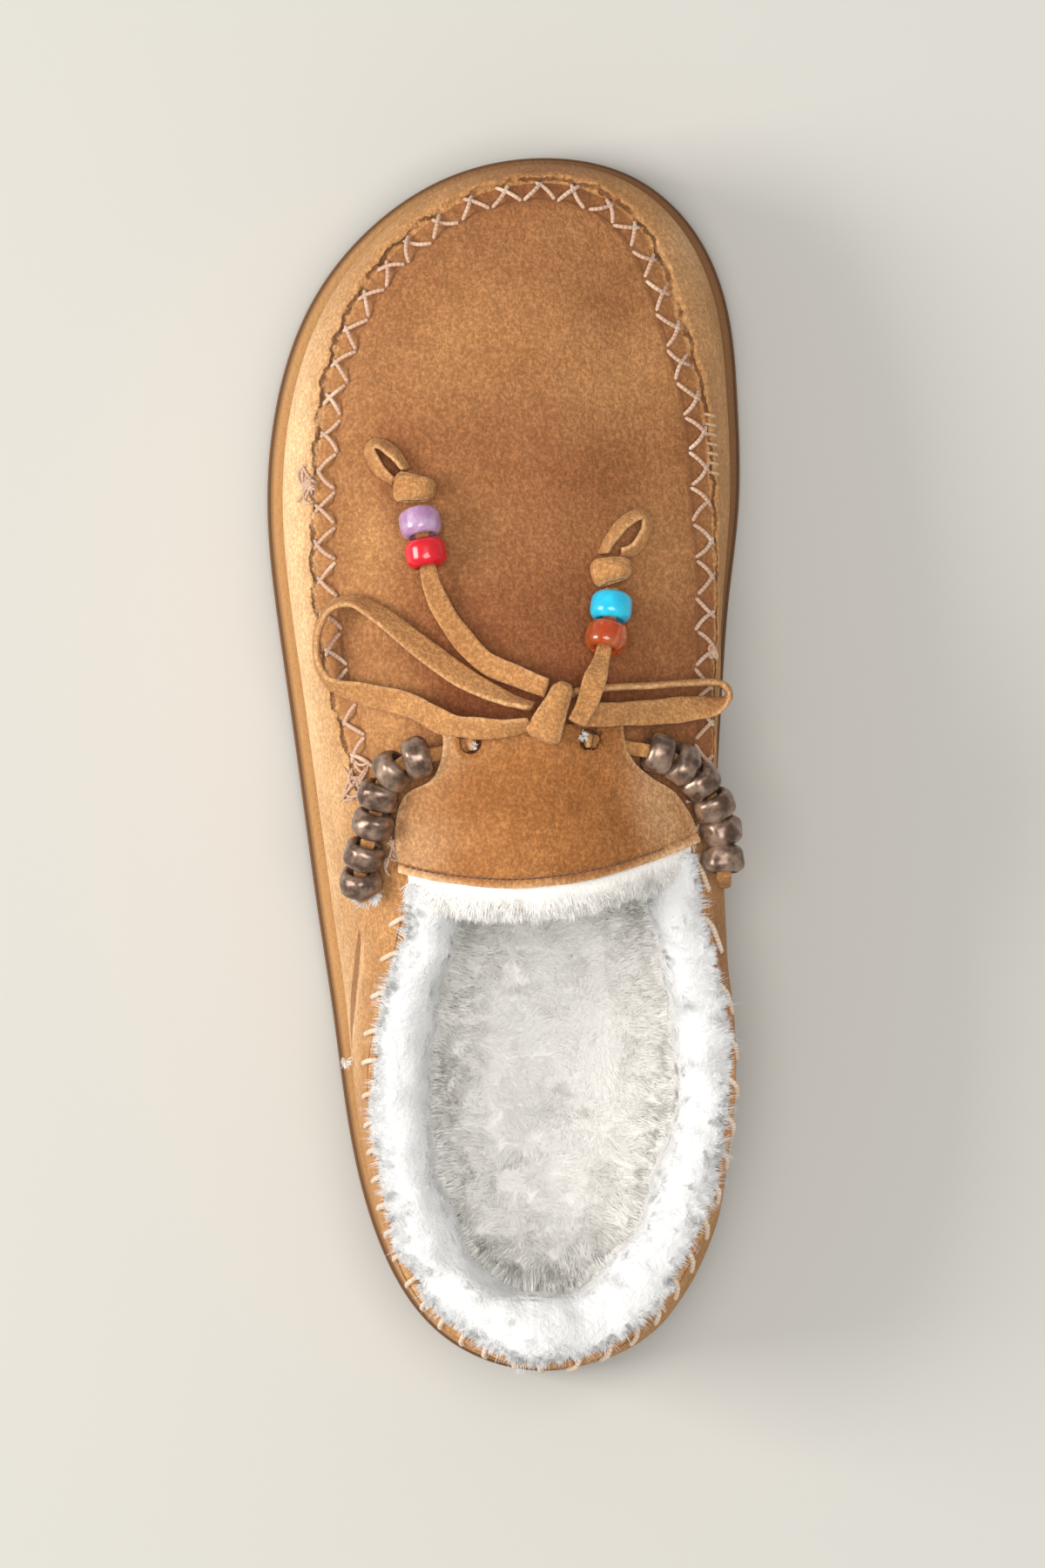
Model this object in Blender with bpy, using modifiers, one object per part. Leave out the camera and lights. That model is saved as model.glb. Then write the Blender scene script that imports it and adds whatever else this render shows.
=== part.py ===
"""A fur-lined moccasin slipper for the left foot, built from the pieces that its maker joins.

+Y points to the toe, +X to the inner side of the foot and +Z up. The sole stands on z = 0,
and the origin is in the middle of the outline, on the floor.
"""

from collections import namedtuple

import bmesh
import bpy
import numpy as np
from mathutils import Vector
from mathutils.bvhtree import BVHTree

MM = 0.001

# Driving dimensions.
LENGTH = 255.0 * MM
BALL_WIDTH = 99.6 * MM
INSTEP_SCALE = 1.0  # stretches every height of the upper
GAP = 0.3 * MM  # between touching pieces
WALL = 2.0 * MM  # the suede with its backing

# Sole.
SOLE_THICK = 10.5 * MM
HEEL_LIFT = 1.5 * MM  # how much thicker the sole is under the heel
ARCH_RISE = 2.2 * MM
ARCH_TOP = 0.25  # the share of the arch that the sole's top follows
ARCH_Y = (-42.0 * MM, 18.0 * MM)
TOE_SPRING = 5.0 * MM
TOE_SPRING_Y = 82.0 * MM
HEEL_BEVEL = 1.2 * MM
HEEL_BEVEL_Y = -112.0 * MM
SIDE_STEP = 0.8 * MM  # the upper half of the sole's side stands back by this
SOLE_LEVELS = (  # set in from the outline, share of the sole's thickness
    (1.8 * MM, 0.0),
    (0.3 * MM, 0.12),
    (0.0, 0.3),
    (0.0, 0.52),
    (SIDE_STEP, 0.58),
    (SIDE_STEP, 0.92),
    (SIDE_STEP + 0.9 * MM, 1.0),
)

# Insole and upper.
INSOLE_INSET = 2.7 * MM
INSOLE_THICK = 7.5 * MM
FEATHER_INSET = 1.2 * MM  # the upper's lower edge stands at least this far in from the sole's
SEAM_LIP = 1.3 * MM  # from the seam to the crest on each side of it
SEAM_RISE = 0.6 * MM
SEAM_DIP = 0.5 * MM
PLUG_BOW = 1.6 * MM  # how far the plug's rear edge bows towards the heel

# Flap over the instep.
FLAP_THICK = 1.6 * MM
FLAP_LIFT = 2.6 * MM  # room for the lace under its front edge
FLAP_GAP = 0.48 * MM
LACE_HOLE = 6.0 * MM
LACE_HOLES = ((-6.3 * MM, 4.4 * MM), (17.4 * MM, 4.9 * MM))

# Fleece.
FLEECE_GAP = 0.96 * MM  # behind the roll, at its corners; less between them
FLEECE_RISE = 3.4 * MM  # above the suede edge
FLEECE_SIDE = 10.0 * MM  # the roll's width at the throat
FLEECE_HEEL = 14.0 * MM  # and at the heel
LOCK_LENGTH = 1.7 * MM

# Lace and beads.
LACE_WIDTH = 5.2 * MM
LACE_THICK = 1.6 * MM
LACE_IN_BEAD = 3.0 * MM  # the lace folds to this width inside the beads
BEAD_DIAMETER = 8.6 * MM
BEAD_LENGTH = 4.8 * MM
BEADS_A_SIDE = 6
TAIL_BEAD_LENGTH = 6.0 * MM
BEAD_BORE = 4.2 * MM

STEPS = 2  # columns of faces for each row of the tables
PLUG_ACROSS = 12
FLAP_ACROSS = 12
FLAP_SHARES = np.linspace(-1, 1, FLAP_ACROSS + 1)
THROAT_GAP = 0.2  # share of a column between the throat's corners and the fleece
THROAT_INSET = 1.2 * MM  # how much further in the fleece starts there

Station = namedtuple("Station", "place sole_x sole_y ledge top_x top_y top_z lean crown")

# The outer side of the foot, from the toe to the heel, in millimetres. sole: the outline of
# the sole. ledge: from there in to the widest line of the upper. top: the seam of the plug in
# front of the throat, the edge of the collar behind it. lean: 1 for a wall that rounds over
# into the plug, 2 for a straight one. crown: how far the plug rises above its own edges.
OUTER_SIDE = (
    Station("toe", 9.4, 127.5, 1.4, 7.5, 120.6, 33.0, 1.0, 0.0),
    Station("toe cap", -12.0, 123.4, 1.8, -8.5, 116.8, 33.4, 1.0, 1.6),
    Station("little toe", -28.7, 112.4, 2.4, -20.5, 108.3, 34.0, 1.0, 4.0),
    Station("forefoot", -40.9, 96.6, 2.8, -30.3, 95.8, 35.0, 1.0, 6.8),
    Station("joint", -47.6, 77.5, 2.8, -36.5, 77.5, 36.2, 1.0, 9.0),
    Station("ball", -49.8, 53.0, 2.8, -38.5, 53.0, 38.0, 1.0, 11.0),
    Station("waist", -47.6, 30.0, 2.8, -37.6, 29.5, 40.5, 1.05, 13.2),
    Station("instep", -44.4, 7.5, 2.6, -32.8, 8.5, 44.0, 1.1, 15.2),
    Station("lace", -41.4, -14.6, 2.4, -26.6, -9.5, 48.5, 1.2, 15.4),
    Station("throat", -39.3, -30.0, 2.2, -20.4, -22.5, 51.0, 1.35, 14.0),
    Station("quarter", -36.0, -52.0, 2.0, -26.0, -51.0, 45.0, 1.5, 12.0),
    Station("rear quarter", -32.3, -78.0, 1.6, -27.4, -77.0, 41.5, 1.55, 10.0),
    Station("heel side", -26.5, -99.8, 1.4, -23.2, -98.8, 41.5, 1.5, 10.0),
    Station("heel curve", -13.8, -119.4, 1.4, -11.9, -116.3, 43.0, 1.45, 10.0),
    Station("heel", 8.9, -127.5, 1.4, 8.9, -124.5, 45.0, 1.4, 10.0),
)

# The inner side, the same places from the toe to the heel, without the two that both share.
INNER_SIDE = (
    Station("toe cap", 28.0, 123.2, 1.6, 20.6, 117.6, 33.4, 1.0, 1.6),
    Station("great toe", 40.3, 112.2, 1.8, 29.3, 109.5, 34.2, 1.0, 4.0),
    Station("forefoot", 47.2, 96.0, 1.8, 35.0, 95.5, 35.4, 1.0, 6.8),
    Station("joint", 49.3, 77.0, 1.8, 40.3, 77.0, 36.8, 1.0, 9.0),
    Station("ball", 49.6, 55.0, 1.6, 42.8, 54.5, 38.6, 1.0, 11.0),
    Station("waist", 47.4, 34.0, 1.0, 43.7, 33.5, 41.0, 1.1, 13.2),
    Station("instep", 46.0, 14.0, 0.6, 43.2, 12.0, 43.5, 1.2, 15.2),
    Station("lace", 44.9, -5.0, -0.2, 42.6, -4.5, 46.0, 1.3, 15.4),
    Station("throat", 44.5, -26.0, -3.4, 39.8, -16.0, 49.0, 1.35, 14.0),
    Station("quarter", 45.2, -54.0, -3.4, 47.0, -53.0, 43.0, 1.5, 12.0),
    Station("rear quarter", 45.6, -80.0, -2.2, 46.5, -79.0, 41.0, 1.55, 10.0),
    Station("heel side", 41.9, -102.6, -1.3, 39.8, -100.5, 41.5, 1.5, 10.0),
    Station("heel curve", 29.6, -119.9, -0.9, 27.9, -117.2, 43.0, 1.45, 10.0),
)

RING = OUTER_SIDE + INNER_SIDE[::-1]
ROWS = len(RING)
COLUMNS = ROWS * STEPS
THROAT = 9  # the row at the throat's corners

FlapRow = namedtuple("FlapRow", "left_x left_y right_x right_y bow lift")

# The flap from its front edge to its rear one, in millimetres, as seen from above: its left
# and right edges, how far the row bows to the heel, and the share of the lift it stands at.
FLAP = (
    FlapRow(-12.0, 7.6, 24.0, 8.0, 0.0, 1.0),
    FlapRow(-11.8, 2.4, 25.0, 2.6, 0.4, 0.9),
    FlapRow(-14.2, -3.2, 29.2, -2.4, 1.4, 0.28),
    FlapRow(-19.6, -6.6, 34.6, -6.0, 2.8, 0.1),
    FlapRow(-21.4, -13.4, 38.0, -11.4, 4.2, 0.03),
    FlapRow(-20.4, -21.9, 39.3, -15.7, 5.6, 0.0),
)

Point = namedtuple("Point", "x y above tilt")

# The lace's routes, seen from above in millimetres. above: the height over the suede. tilt:
# 0 where the lace lies flat, 90 where it stands on edge.
RUN_LEFT = (
    Point(-6.3, 4.4, 4.5, 0),
    Point(-6.9, 4.3, 2.2, 0),
    Point(-9.0, 3.4, 1.6, 0),
    Point(-12.6, 2.3, 1.7, 0),
    Point(-17.8, 1.2, 4.6, 0),
    Point(-22.2, -1.0, 4.8, 0),
    Point(-25.2, -5.4, 4.8, 0),
    Point(-26.4, -11.4, 4.8, 0),
    Point(-28.0, -17.0, 4.8, 0),
    Point(-29.2, -21.6, 4.9, 0),
    Point(-29.3, -25.2, 4.6, 0),
    Point(-28.9, -27.6, 2.2, 0),
)
RUN_RIGHT = (
    Point(17.4, 4.9, 4.5, 0),
    Point(18.0, 4.8, 2.2, 0),
    Point(20.4, 4.2, 1.7, 0),
    Point(25.6, 3.4, 1.85, 0),
    Point(31.2, 2.4, 4.8, 0),
    Point(35.6, 0.6, 4.8, 0),
    Point(39.8, -2.8, 4.8, 0),
    Point(43.0, -7.6, 4.8, 0),
    Point(44.8, -13.2, 4.8, 0),
    Point(45.2, -18.4, 4.9, 0),
    Point(45.4, -22.4, 4.9, 0),
    Point(45.6, -24.8, 2.6, 0),
)
LOOP_LEFT = (
    Point(5.4, 8.2, 8.0, 60),
    Point(-1.0, 7.3, 7.4, 35),
    Point(-11.0, 8.2, 6.6, 20),
    Point(-19.2, 12.2, 4.4, 20),
    Point(-29.0, 14.6, 3.6, 35),
    Point(-35.4, 16.6, 4.4, 70),
    Point(-38.2, 21.2, 5.4, 85),
    Point(-38.2, 27.2, 5.4, 85),
    Point(-35.8, 32.0, 5.0, 80),
    Point(-31.0, 33.6, 4.4, 65),
    Point(-25.0, 30.4, 3.8, 45),
    Point(-17.6, 24.6, 3.4, 30),
    Point(-8.0, 17.6, 3.8, 30),
    Point(0.4, 13.4, 5.8, 55),
    Point(5.8, 11.8, 7.6, 75),
)
LOOP_RIGHT = (
    Point(15.2, 9.8, 6.8, 15),
    Point(22.0, 10.2, 6.4, 15),
    Point(30.0, 10.6, 4.6, 15),
    Point(38.0, 11.4, 4.6, 25),
    Point(43.6, 12.2, 5.6, 55),
    Point(46.4, 14.2, 7.0, 88),
    Point(44.6, 16.6, 6.0, 88),
    Point(38.0, 16.6, 4.4, 88),
    Point(30.0, 16.0, 3.6, 88),
    Point(22.0, 15.6, 3.6, 88),
    Point(14.4, 14.6, 4.4, 80),
)
TAIL_LEFT = (
    Point(9.0, 15.6, 5.6, 30),
    Point(3.0, 18.0, 3.6, 20),
    Point(-4.2, 21.4, 2.2, 10),
    Point(-11.0, 29.4, 2.2, 5),
    Point(-14.6, 36.8, 3.6, 0),
    Point(-15.8, 43.1, 4.8, 0),
    Point(-17.0, 49.4, 4.8, 0),
    Point(-17.6, 52.8, 4.4, 0),
)
TAIL_RIGHT = (
    Point(15.0, 8.4, 10.0, 15),
    Point(17.2, 12.4, 9.6, 15),
    Point(18.8, 17.4, 9.0, 10),
    Point(20.2, 21.6, 6.0, 5),
    Point(21.2, 26.2, 4.9, 0),
    Point(22.2, 32.4, 4.8, 0),
    Point(22.4, 36.0, 4.4, 0),
)
END_LEFT = (
    Point(-22.4, 58.2, 2.2, 90),
    Point(-24.0, 59.4, 2.2, 90),
    Point(-26.0, 61.4, 2.4, 90),
    Point(-27.6, 65.0, 2.4, 90),
    Point(-25.6, 66.2, 2.4, 90),
    Point(-22.6, 64.2, 2.2, 90),
    Point(-20.0, 60.8, 2.2, 90),
)
END_RIGHT = (
    Point(20.6, 43.4, 2.2, 90),
    Point(22.2, 46.4, 2.2, 90),
    Point(25.2, 50.0, 2.4, 90),
    Point(28.8, 51.6, 2.4, 90),
    Point(29.6, 48.6, 2.4, 90),
    Point(27.4, 44.6, 2.4, 90),
    Point(24.2, 43.4, 2.2, 90),
)


def closed_spline(values, knots):
    """A function of the row number, smooth through the rows of values around the ring."""
    count = len(values)
    h = np.diff(knots)
    before = np.roll(h, 1)
    matrix = np.zeros((count, count))
    index = np.arange(count)
    matrix[index, index] = 2 * (h + before)
    matrix[index, (index + 1) % count] += h
    matrix[index, (index - 1) % count] += before
    rise = (np.roll(values, -1, axis=0) - values) / h[:, None]
    bend = np.linalg.solve(matrix, 6 * (rise - np.roll(rise, 1, axis=0)))

    def at(row):
        row = np.asarray(row, float) % count
        i = np.floor(row).astype(int) % count
        j = (i + 1) % count
        f = (row - np.floor(row))[..., None]
        a = 1 - f
        curve = (a**3 - a) * bend[i] + (f**3 - f) * bend[j]
        return a * values[i] + f * values[j] + h[i][..., None] ** 2 / 6 * curve

    return at


def ring_function():
    """The ring's splines, and the stretch that makes the sole as long and as wide as stated."""
    values = np.array([station[1:] for station in RING], float)
    outline = values[:, :2]
    steps = np.linalg.norm(np.roll(outline, -1, axis=0) - outline, axis=1)
    at = closed_spline(values, np.concatenate([[0], np.cumsum(steps)]))
    fine = at(np.linspace(0, ROWS, 40 * ROWS, endpoint=False))[:, :2]
    low, high = fine.min(axis=0), fine.max(axis=0)
    middle = (low + high) / 2
    stretch = np.array([BALL_WIDTH, LENGTH]) / (high - low)
    return at, middle, stretch


RING_AT, RING_MIDDLE, RING_STRETCH = ring_function()


def ring(row):
    """The sole's outline, ledge, topline, lean and crown at row numbers, in metres."""
    v = RING_AT(row)
    sole = (v[..., 0:2] - RING_MIDDLE) * RING_STRETCH
    top = (v[..., 3:5] - RING_MIDDLE) * RING_STRETCH
    return {
        "sole": sole,
        "ledge": v[..., 2:3] * MM,
        "top": np.concatenate([top, v[..., 5:6] * MM * INSTEP_SCALE], axis=-1),
        "lean": v[..., 6:7],
        "crown": v[..., 7:8] * MM * INSTEP_SCALE,
    }


def inward(row, key="sole"):
    """The level direction that points into the ring, square to the outline or the topline."""
    step = 0.02
    along = ring(row + step)[key][..., :2] - ring(row - step)[key][..., :2]
    along /= np.linalg.norm(along, axis=-1, keepdims=True)
    return np.stack([-along[..., 1], along[..., 0]], axis=-1)


def toe_spring(y):
    share = np.clip((y - TOE_SPRING_Y) / (LENGTH / 2 - TOE_SPRING_Y), 0, 1)
    return TOE_SPRING * share**2


def arch(y):
    share = np.clip((y - ARCH_Y[0]) / (ARCH_Y[1] - ARCH_Y[0]), 0, 1)
    return ARCH_RISE * np.sin(np.pi * share) ** 2


def underside(y):
    """The height of the sole's underside: flat under heel and forefoot, arched between them."""
    bevel = np.clip((HEEL_BEVEL_Y - y) / (HEEL_BEVEL_Y + LENGTH / 2), 0, 1)
    return toe_spring(y) + HEEL_BEVEL * bevel**2 + arch(y)


def sole_top(y):
    """The height of the sole's top, which rises to the heel and leaves out most of the arch."""
    share = np.clip((30 * MM - y) / (90 * MM), 0, 1)
    heel = HEEL_LIFT * share * share * (3 - 2 * share)
    return toe_spring(y) + SOLE_THICK + heel + ARCH_TOP * arch(y)


def wall_point(row, turn):
    """A point on the outside of the wall; turn goes from 0 at the sole to 90 degrees at the top."""
    r = ring(row)
    angle = np.radians(np.broadcast_to(turn, np.shape(row)))[..., None]
    side = np.cos(angle).clip(0) ** r["lean"]
    height = np.sin(angle).clip(0) ** r["lean"]
    tuck = FEATHER_INSET + (np.sqrt(r["ledge"] ** 2 + (1 * MM) ** 2) - r["ledge"]) / 2
    in_by = r["ledge"] + tuck * (1 - height) ** 3
    widest = r["sole"] + inward(row) * in_by
    flat = r["top"][..., :2] + (widest - r["top"][..., :2]) * side
    low = sole_top(r["sole"][..., 1:2]) + GAP
    return np.concatenate([flat, low + (r["top"][..., 2:3] - low) * height], axis=-1)


def wall_out(row, turn):
    """The direction out of the wall, square to its surface."""
    step = 0.05
    along = wall_point(row + step, turn) - wall_point(row - step, turn)
    up = wall_point(row, turn) - wall_point(row, turn - 4.0)
    out = np.cross(along, up)
    return out / np.linalg.norm(out, axis=-1, keepdims=True)


def plug_point(row, across):
    """A point on the plug: across goes from -1 at the outer seam to 1 at the inner one."""
    left, right = ring(row), ring(ROWS - row)
    s = np.asarray(across, float)[..., None]
    place = left["top"] * (1 - s) / 2 + right["top"] * (1 + s) / 2
    dome = 1 - s**2
    bow = PLUG_BOW * np.clip((np.asarray(row, float)[..., None] - 6) / 3, 0, 1)
    lift = np.concatenate([0 * s, -bow * dome, left["crown"] * dome], axis=-1)
    return place + lift


def seam_share(row):
    """1 along the plug's seam, fading out before the throat's corners."""
    from_toe = np.minimum(row, ROWS - row)
    return np.clip((THROAT - from_toe) / 1.5, 0, 1)


def add_object(name, mesh, colour, roughness, metallic=0.0):
    """An object with its own material."""
    obj = bpy.data.objects.new(name, mesh)
    PARTS.objects.link(obj)
    material = bpy.data.materials.new(name)
    material.use_nodes = True
    shader = material.node_tree.nodes["Principled BSDF"]
    shader.inputs["Base Color"].default_value = (*colour, 1)
    shader.inputs["Roughness"].default_value = roughness
    shader.inputs["Metallic"].default_value = metallic
    mesh.materials.append(material)
    if isinstance(mesh, bpy.types.Mesh):
        mesh.shade_smooth()
    return obj


def mesh_from(name, build):
    """A mesh that build(bm) fills."""
    bm = bmesh.new()
    build(bm)
    mesh = bpy.data.meshes.new(name)
    bm.to_mesh(mesh)
    bm.free()
    return mesh


def add_points(bm, points):
    """Vertices for an array of points, in an array of the same shape."""
    flat = [bm.verts.new(p) for p in np.reshape(points, (-1, 3))]
    return np.array(flat, dtype=object).reshape(np.shape(points)[:-1])


def join_rows(bm, lower, upper, closed=False):
    """A strip of faces between two rows of vertices; a pair that has met makes a triangle."""
    count = len(lower) if closed else len(lower) - 1
    for i in range(count):
        j = (i + 1) % len(lower)
        corners = [lower[i], lower[j], upper[j], upper[i]]
        kept = [v for k, v in enumerate(corners) if v is not corners[k - 1]]
        if len(kept) > 2:
            bm.faces.new(kept)


def crossing_rows(bm, edge, point, shares, last):
    """Rows from the ring's outer side to its inner one, ending on the vertices of edge."""
    rows = [[edge[0]] * (len(shares) + 2)]
    for j in range(1, last + 1):
        if (COLUMNS - j) % COLUMNS == j:
            rows.append([edge[j]] * (len(shares) + 2))
            continue
        inner = add_points(bm, point(j / STEPS, shares))
        rows.append([edge[j], *inner, edge[COLUMNS - j]])
    return rows


def slab(bm, levels, inset_point, bottom, top, across=3):
    """A closed solid on the ring's outline: its side from levels, its two faces from rows across."""
    row = np.arange(COLUMNS) / STEPS
    rings = [add_points(bm, inset_point(row, inset, share)) for inset, share in levels]
    for low, high in zip(rings, rings[1:]):
        join_rows(bm, low, high, closed=True)
    shares = np.linspace(-1, 1, across + 2)[1:-1]
    for edge, height, level in ((rings[0], bottom, levels[0]), (rings[-1], top, levels[-1])):
        def point(j, s):
            left = inset_point(np.array(j), *level)
            right = inset_point(np.array(ROWS - j), *level)
            flat = left * (1 - s[:, None]) / 2 + right * (1 + s[:, None]) / 2
            flat[:, 2] = height(flat[:, 1])
            return flat

        rows = crossing_rows(bm, edge, point, shares, COLUMNS // 2)
        for a, b in zip(rows, rows[1:]):
            join_rows(bm, a, b)
    bmesh.ops.recalc_face_normals(bm, faces=bm.faces)


def outsole():
    """The moulded sole: rounded lower edge, a step half way up its side, arch and toe spring."""

    def point(row, inset, share):
        flat = ring(row)["sole"] + inward(row) * inset
        y = flat[..., 1:2]
        height = underside(y) + (sole_top(y) - underside(y)) * share
        return np.concatenate([flat, height], axis=-1)

    mesh = mesh_from("outsole", lambda bm: slab(bm, SOLE_LEVELS, point, underside, sole_top))
    return add_object("outsole", mesh, (0.30, 0.17, 0.08), 0.85)


def insole_top(y):
    return sole_top(y) + GAP + INSOLE_THICK


def insole():
    """The fleece footbed inside the upper's lower edge."""

    def point(row, inset, share):
        r = ring(row)
        lower = FEATHER_INSET + (np.sqrt(r["ledge"] ** 2 + (1 * MM) ** 2) + r["ledge"]) / 2
        flat = r["sole"] + inward(row) * (lower + inset)
        y = flat[..., 1:2]
        return np.concatenate([flat, sole_top(y) + GAP + INSOLE_THICK * share], axis=-1)

    levels = ((INSOLE_INSET, 0.0), (INSOLE_INSET, 0.7), (INSOLE_INSET + 2.0 * MM, 1.0))
    mesh = mesh_from(
        "insole",
        lambda bm: slab(bm, levels, point, lambda y: sole_top(y) + GAP, insole_top),
    )
    return add_object("insole", mesh, (0.80, 0.77, 0.72), 1.0)


def upper_surface(bm):
    """The outside of the upper: the wall from the sole to the topline, and the plug inside it."""
    row = np.arange(COLUMNS) / STEPS
    r = ring(row)
    reach = np.linalg.norm(wall_point(row, 0.0)[:, :2] - r["top"][:, :2], axis=1)
    lip_turn = np.degrees(np.arccos(np.minimum(SEAM_LIP / reach, 0.45)))
    share = seam_share(row)
    levels = [add_points(bm, wall_point(row, lip_turn * k)) for k in (0, 0.16, 0.34, 0.54, 0.78)]
    lip = wall_point(row, lip_turn)
    lip[:, 2] += SEAM_RISE * share
    levels.append(add_points(bm, lip))
    seam = r["top"].copy()
    seam[:, 2] -= SEAM_DIP * share
    levels.append(add_points(bm, seam))
    for low, high in zip(levels, levels[1:]):
        join_rows(bm, low, high, closed=True)

    def point(j, s):
        place = plug_point(np.full(len(s), j), s)
        place[[0, -1], 2] += SEAM_RISE * seam_share(j)
        return place

    rows = [[levels[-1][0]] * (PLUG_ACROSS + 1)]
    for j in range(1, THROAT * STEPS + 1):
        half = np.linalg.norm(r["top"][j] - r["top"][COLUMNS - j]) / 2
        edge = 1 - SEAM_LIP / half
        shares = np.linspace(-edge, edge, PLUG_ACROSS - 1)
        inner = add_points(bm, point(j / STEPS, shares))
        rows.append([levels[-1][j], *inner, levels[-1][COLUMNS - j]])
    for a, b in zip(rows, rows[1:]):
        join_rows(bm, b, a)


def upper():
    """The suede upper, one shell open underneath and at the collar."""
    obj = add_object("upper", mesh_from("upper", upper_surface), (0.62, 0.38, 0.17), 0.95)
    shell = obj.modifiers.new("wall", "SOLIDIFY")
    shell.thickness = WALL
    shell.offset = -1
    shell.use_even_offset = True
    return obj


def skin_tree():
    """The upper's outside with the plug carried on past the throat, to rest things on."""
    bm = bmesh.new()
    upper_surface(bm)
    rows = [
        add_points(bm, plug_point(np.full(13, THROAT + k / 4), np.linspace(-1, 1, 13)))
        for k in range(5)
    ]
    for a, b in zip(rows, rows[1:]):
        join_rows(bm, b, a)
    tree = BVHTree.FromBMesh(bm)
    bm.free()
    return tree


def skin_height(x, y):
    """The height of the upper's outside over a point of the floor, or over the next one inwards."""
    hit = None
    while hit is None:
        hit = SKIN.ray_cast(Vector((x, y, 0.2)), Vector((0, 0, -1)))[0]
        x *= 0.98
    return hit.z


def rest_height(x, y, above):
    """The lowest height over a point of the floor that is clear of the upper by that much."""
    z = skin_height(x, y) + above
    for _ in range(12):
        z += max(0.0, above - SKIN.find_nearest(Vector((x, y, z)))[3])
    return z


def flap_point(row, across):
    """A point under the flap; row counts the table's rows and across goes from -1 to 1."""
    values = np.array(FLAP, float)
    v = open_spline(values, np.asarray(row, float))
    s = np.asarray(across, float)
    x = v[..., 0] * (1 - s) / 2 + v[..., 2] * (1 + s) / 2
    y = v[..., 1] * (1 - s) / 2 + v[..., 3] * (1 + s) / 2 - v[..., 4] * (1 - s**2)
    lift = np.maximum(v[..., 5], 0) * FLAP_LIFT + FLAP_GAP
    height = np.array([skin_height(a * MM, b * MM) for a, b in zip(x.ravel(), y.ravel())])
    return np.stack([x * MM, y * MM, height.reshape(x.shape) + lift], axis=-1)


def open_spline(values, at):
    """Values on a smooth line through the rows of a table, at row numbers."""
    last = len(values) - 1
    i = np.clip(np.floor(at).astype(int), 0, last - 1)
    f = (at - i)[..., None]
    before, after = values[np.maximum(i - 1, 0)], values[np.minimum(i + 2, last)]
    a, b = values[i], values[i + 1]
    bend = 2 * before - 5 * a + 4 * b - after
    turn = 3 * (a - b) + after - before
    return a + f * (b - before + f * (bend + f * turn)) / 2


def throat_flap():
    """The suede saddle over the instep, with the two holes for the lace."""

    def build(bm):
        rows = [
            add_points(bm, flap_point(np.full(FLAP_ACROSS + 1, k / 2), FLAP_SHARES))
            for k in range(2 * len(FLAP) - 1)
        ]
        for a, b in zip(rows, rows[1:]):
            join_rows(bm, b, a)

    obj = add_object("throat_flap", mesh_from("throat_flap", build), (0.55, 0.31, 0.13), 0.95)
    leather = obj.modifiers.new("leather", "SOLIDIFY")
    leather.thickness = FLAP_THICK
    leather.offset = 1
    for number, (x, y) in enumerate(LACE_HOLES):
        bm = bmesh.new()
        bmesh.ops.create_cone(
            bm,
            cap_ends=True,
            segments=12,
            radius1=LACE_HOLE / 2,
            radius2=LACE_HOLE / 2,
            depth=30 * MM,
        )
        mesh = bpy.data.meshes.new(f"lace_hole_{number + 1}")
        bm.to_mesh(mesh)
        bm.free()
        cutter = bpy.data.objects.new(mesh.name, mesh)
        CUTTERS.objects.link(cutter)
        cutter.location = (x, y, skin_height(x, y))
        cutter.hide_render = True
        cutter.display_type = "WIRE"
        hole = obj.modifiers.new(mesh.name, "BOOLEAN")
        hole.operation = "DIFFERENCE"
        hole.object = cutter


def fleece_section(row):
    """The fleece's section at one row: up inside the wall, over its edge, down to the insole."""
    r = ring(np.array(row))
    lean = r["lean"][0]
    top = r["top"]
    low = sole_top(r["sole"][1]) + GAP
    foot = insole_top(r["sole"][1]) + GAP
    first = (foot + 0.4 * MM - low) / (top[2] - low)
    shares = np.linspace(first, 0.96, 4)
    turns = np.degrees(np.arcsin(shares ** (1 / lean)))
    back = WALL + FLEECE_GAP
    outer = [wall_point(np.array(row), t) - wall_out(np.array(row), t) * back for t in turns]
    inner = np.array([*inward(np.array(row), "top"), 0])
    up = np.array([0, 0, 1])
    to_heel = np.clip(1 - abs(row - ROWS / 2) / (ROWS / 2 - THROAT), 0, 1)
    width = FLEECE_SIDE + (FLEECE_HEEL - FLEECE_SIDE) * to_heel ** 0.7
    roll = ((0.17, 0.55), (0.32, 0.95), (0.55, 1.0), (0.8, 0.6), (0.97, -0.6))
    over = [top + inner * width * a + up * FLEECE_RISE * b for a, b in roll]
    down = []
    for share in (0.5, 0.0):
        place = top + inner * width
        place[2] = foot + (top[2] - foot) * share
        down.append(place)
    return np.array([*outer, *over, *down])


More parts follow.
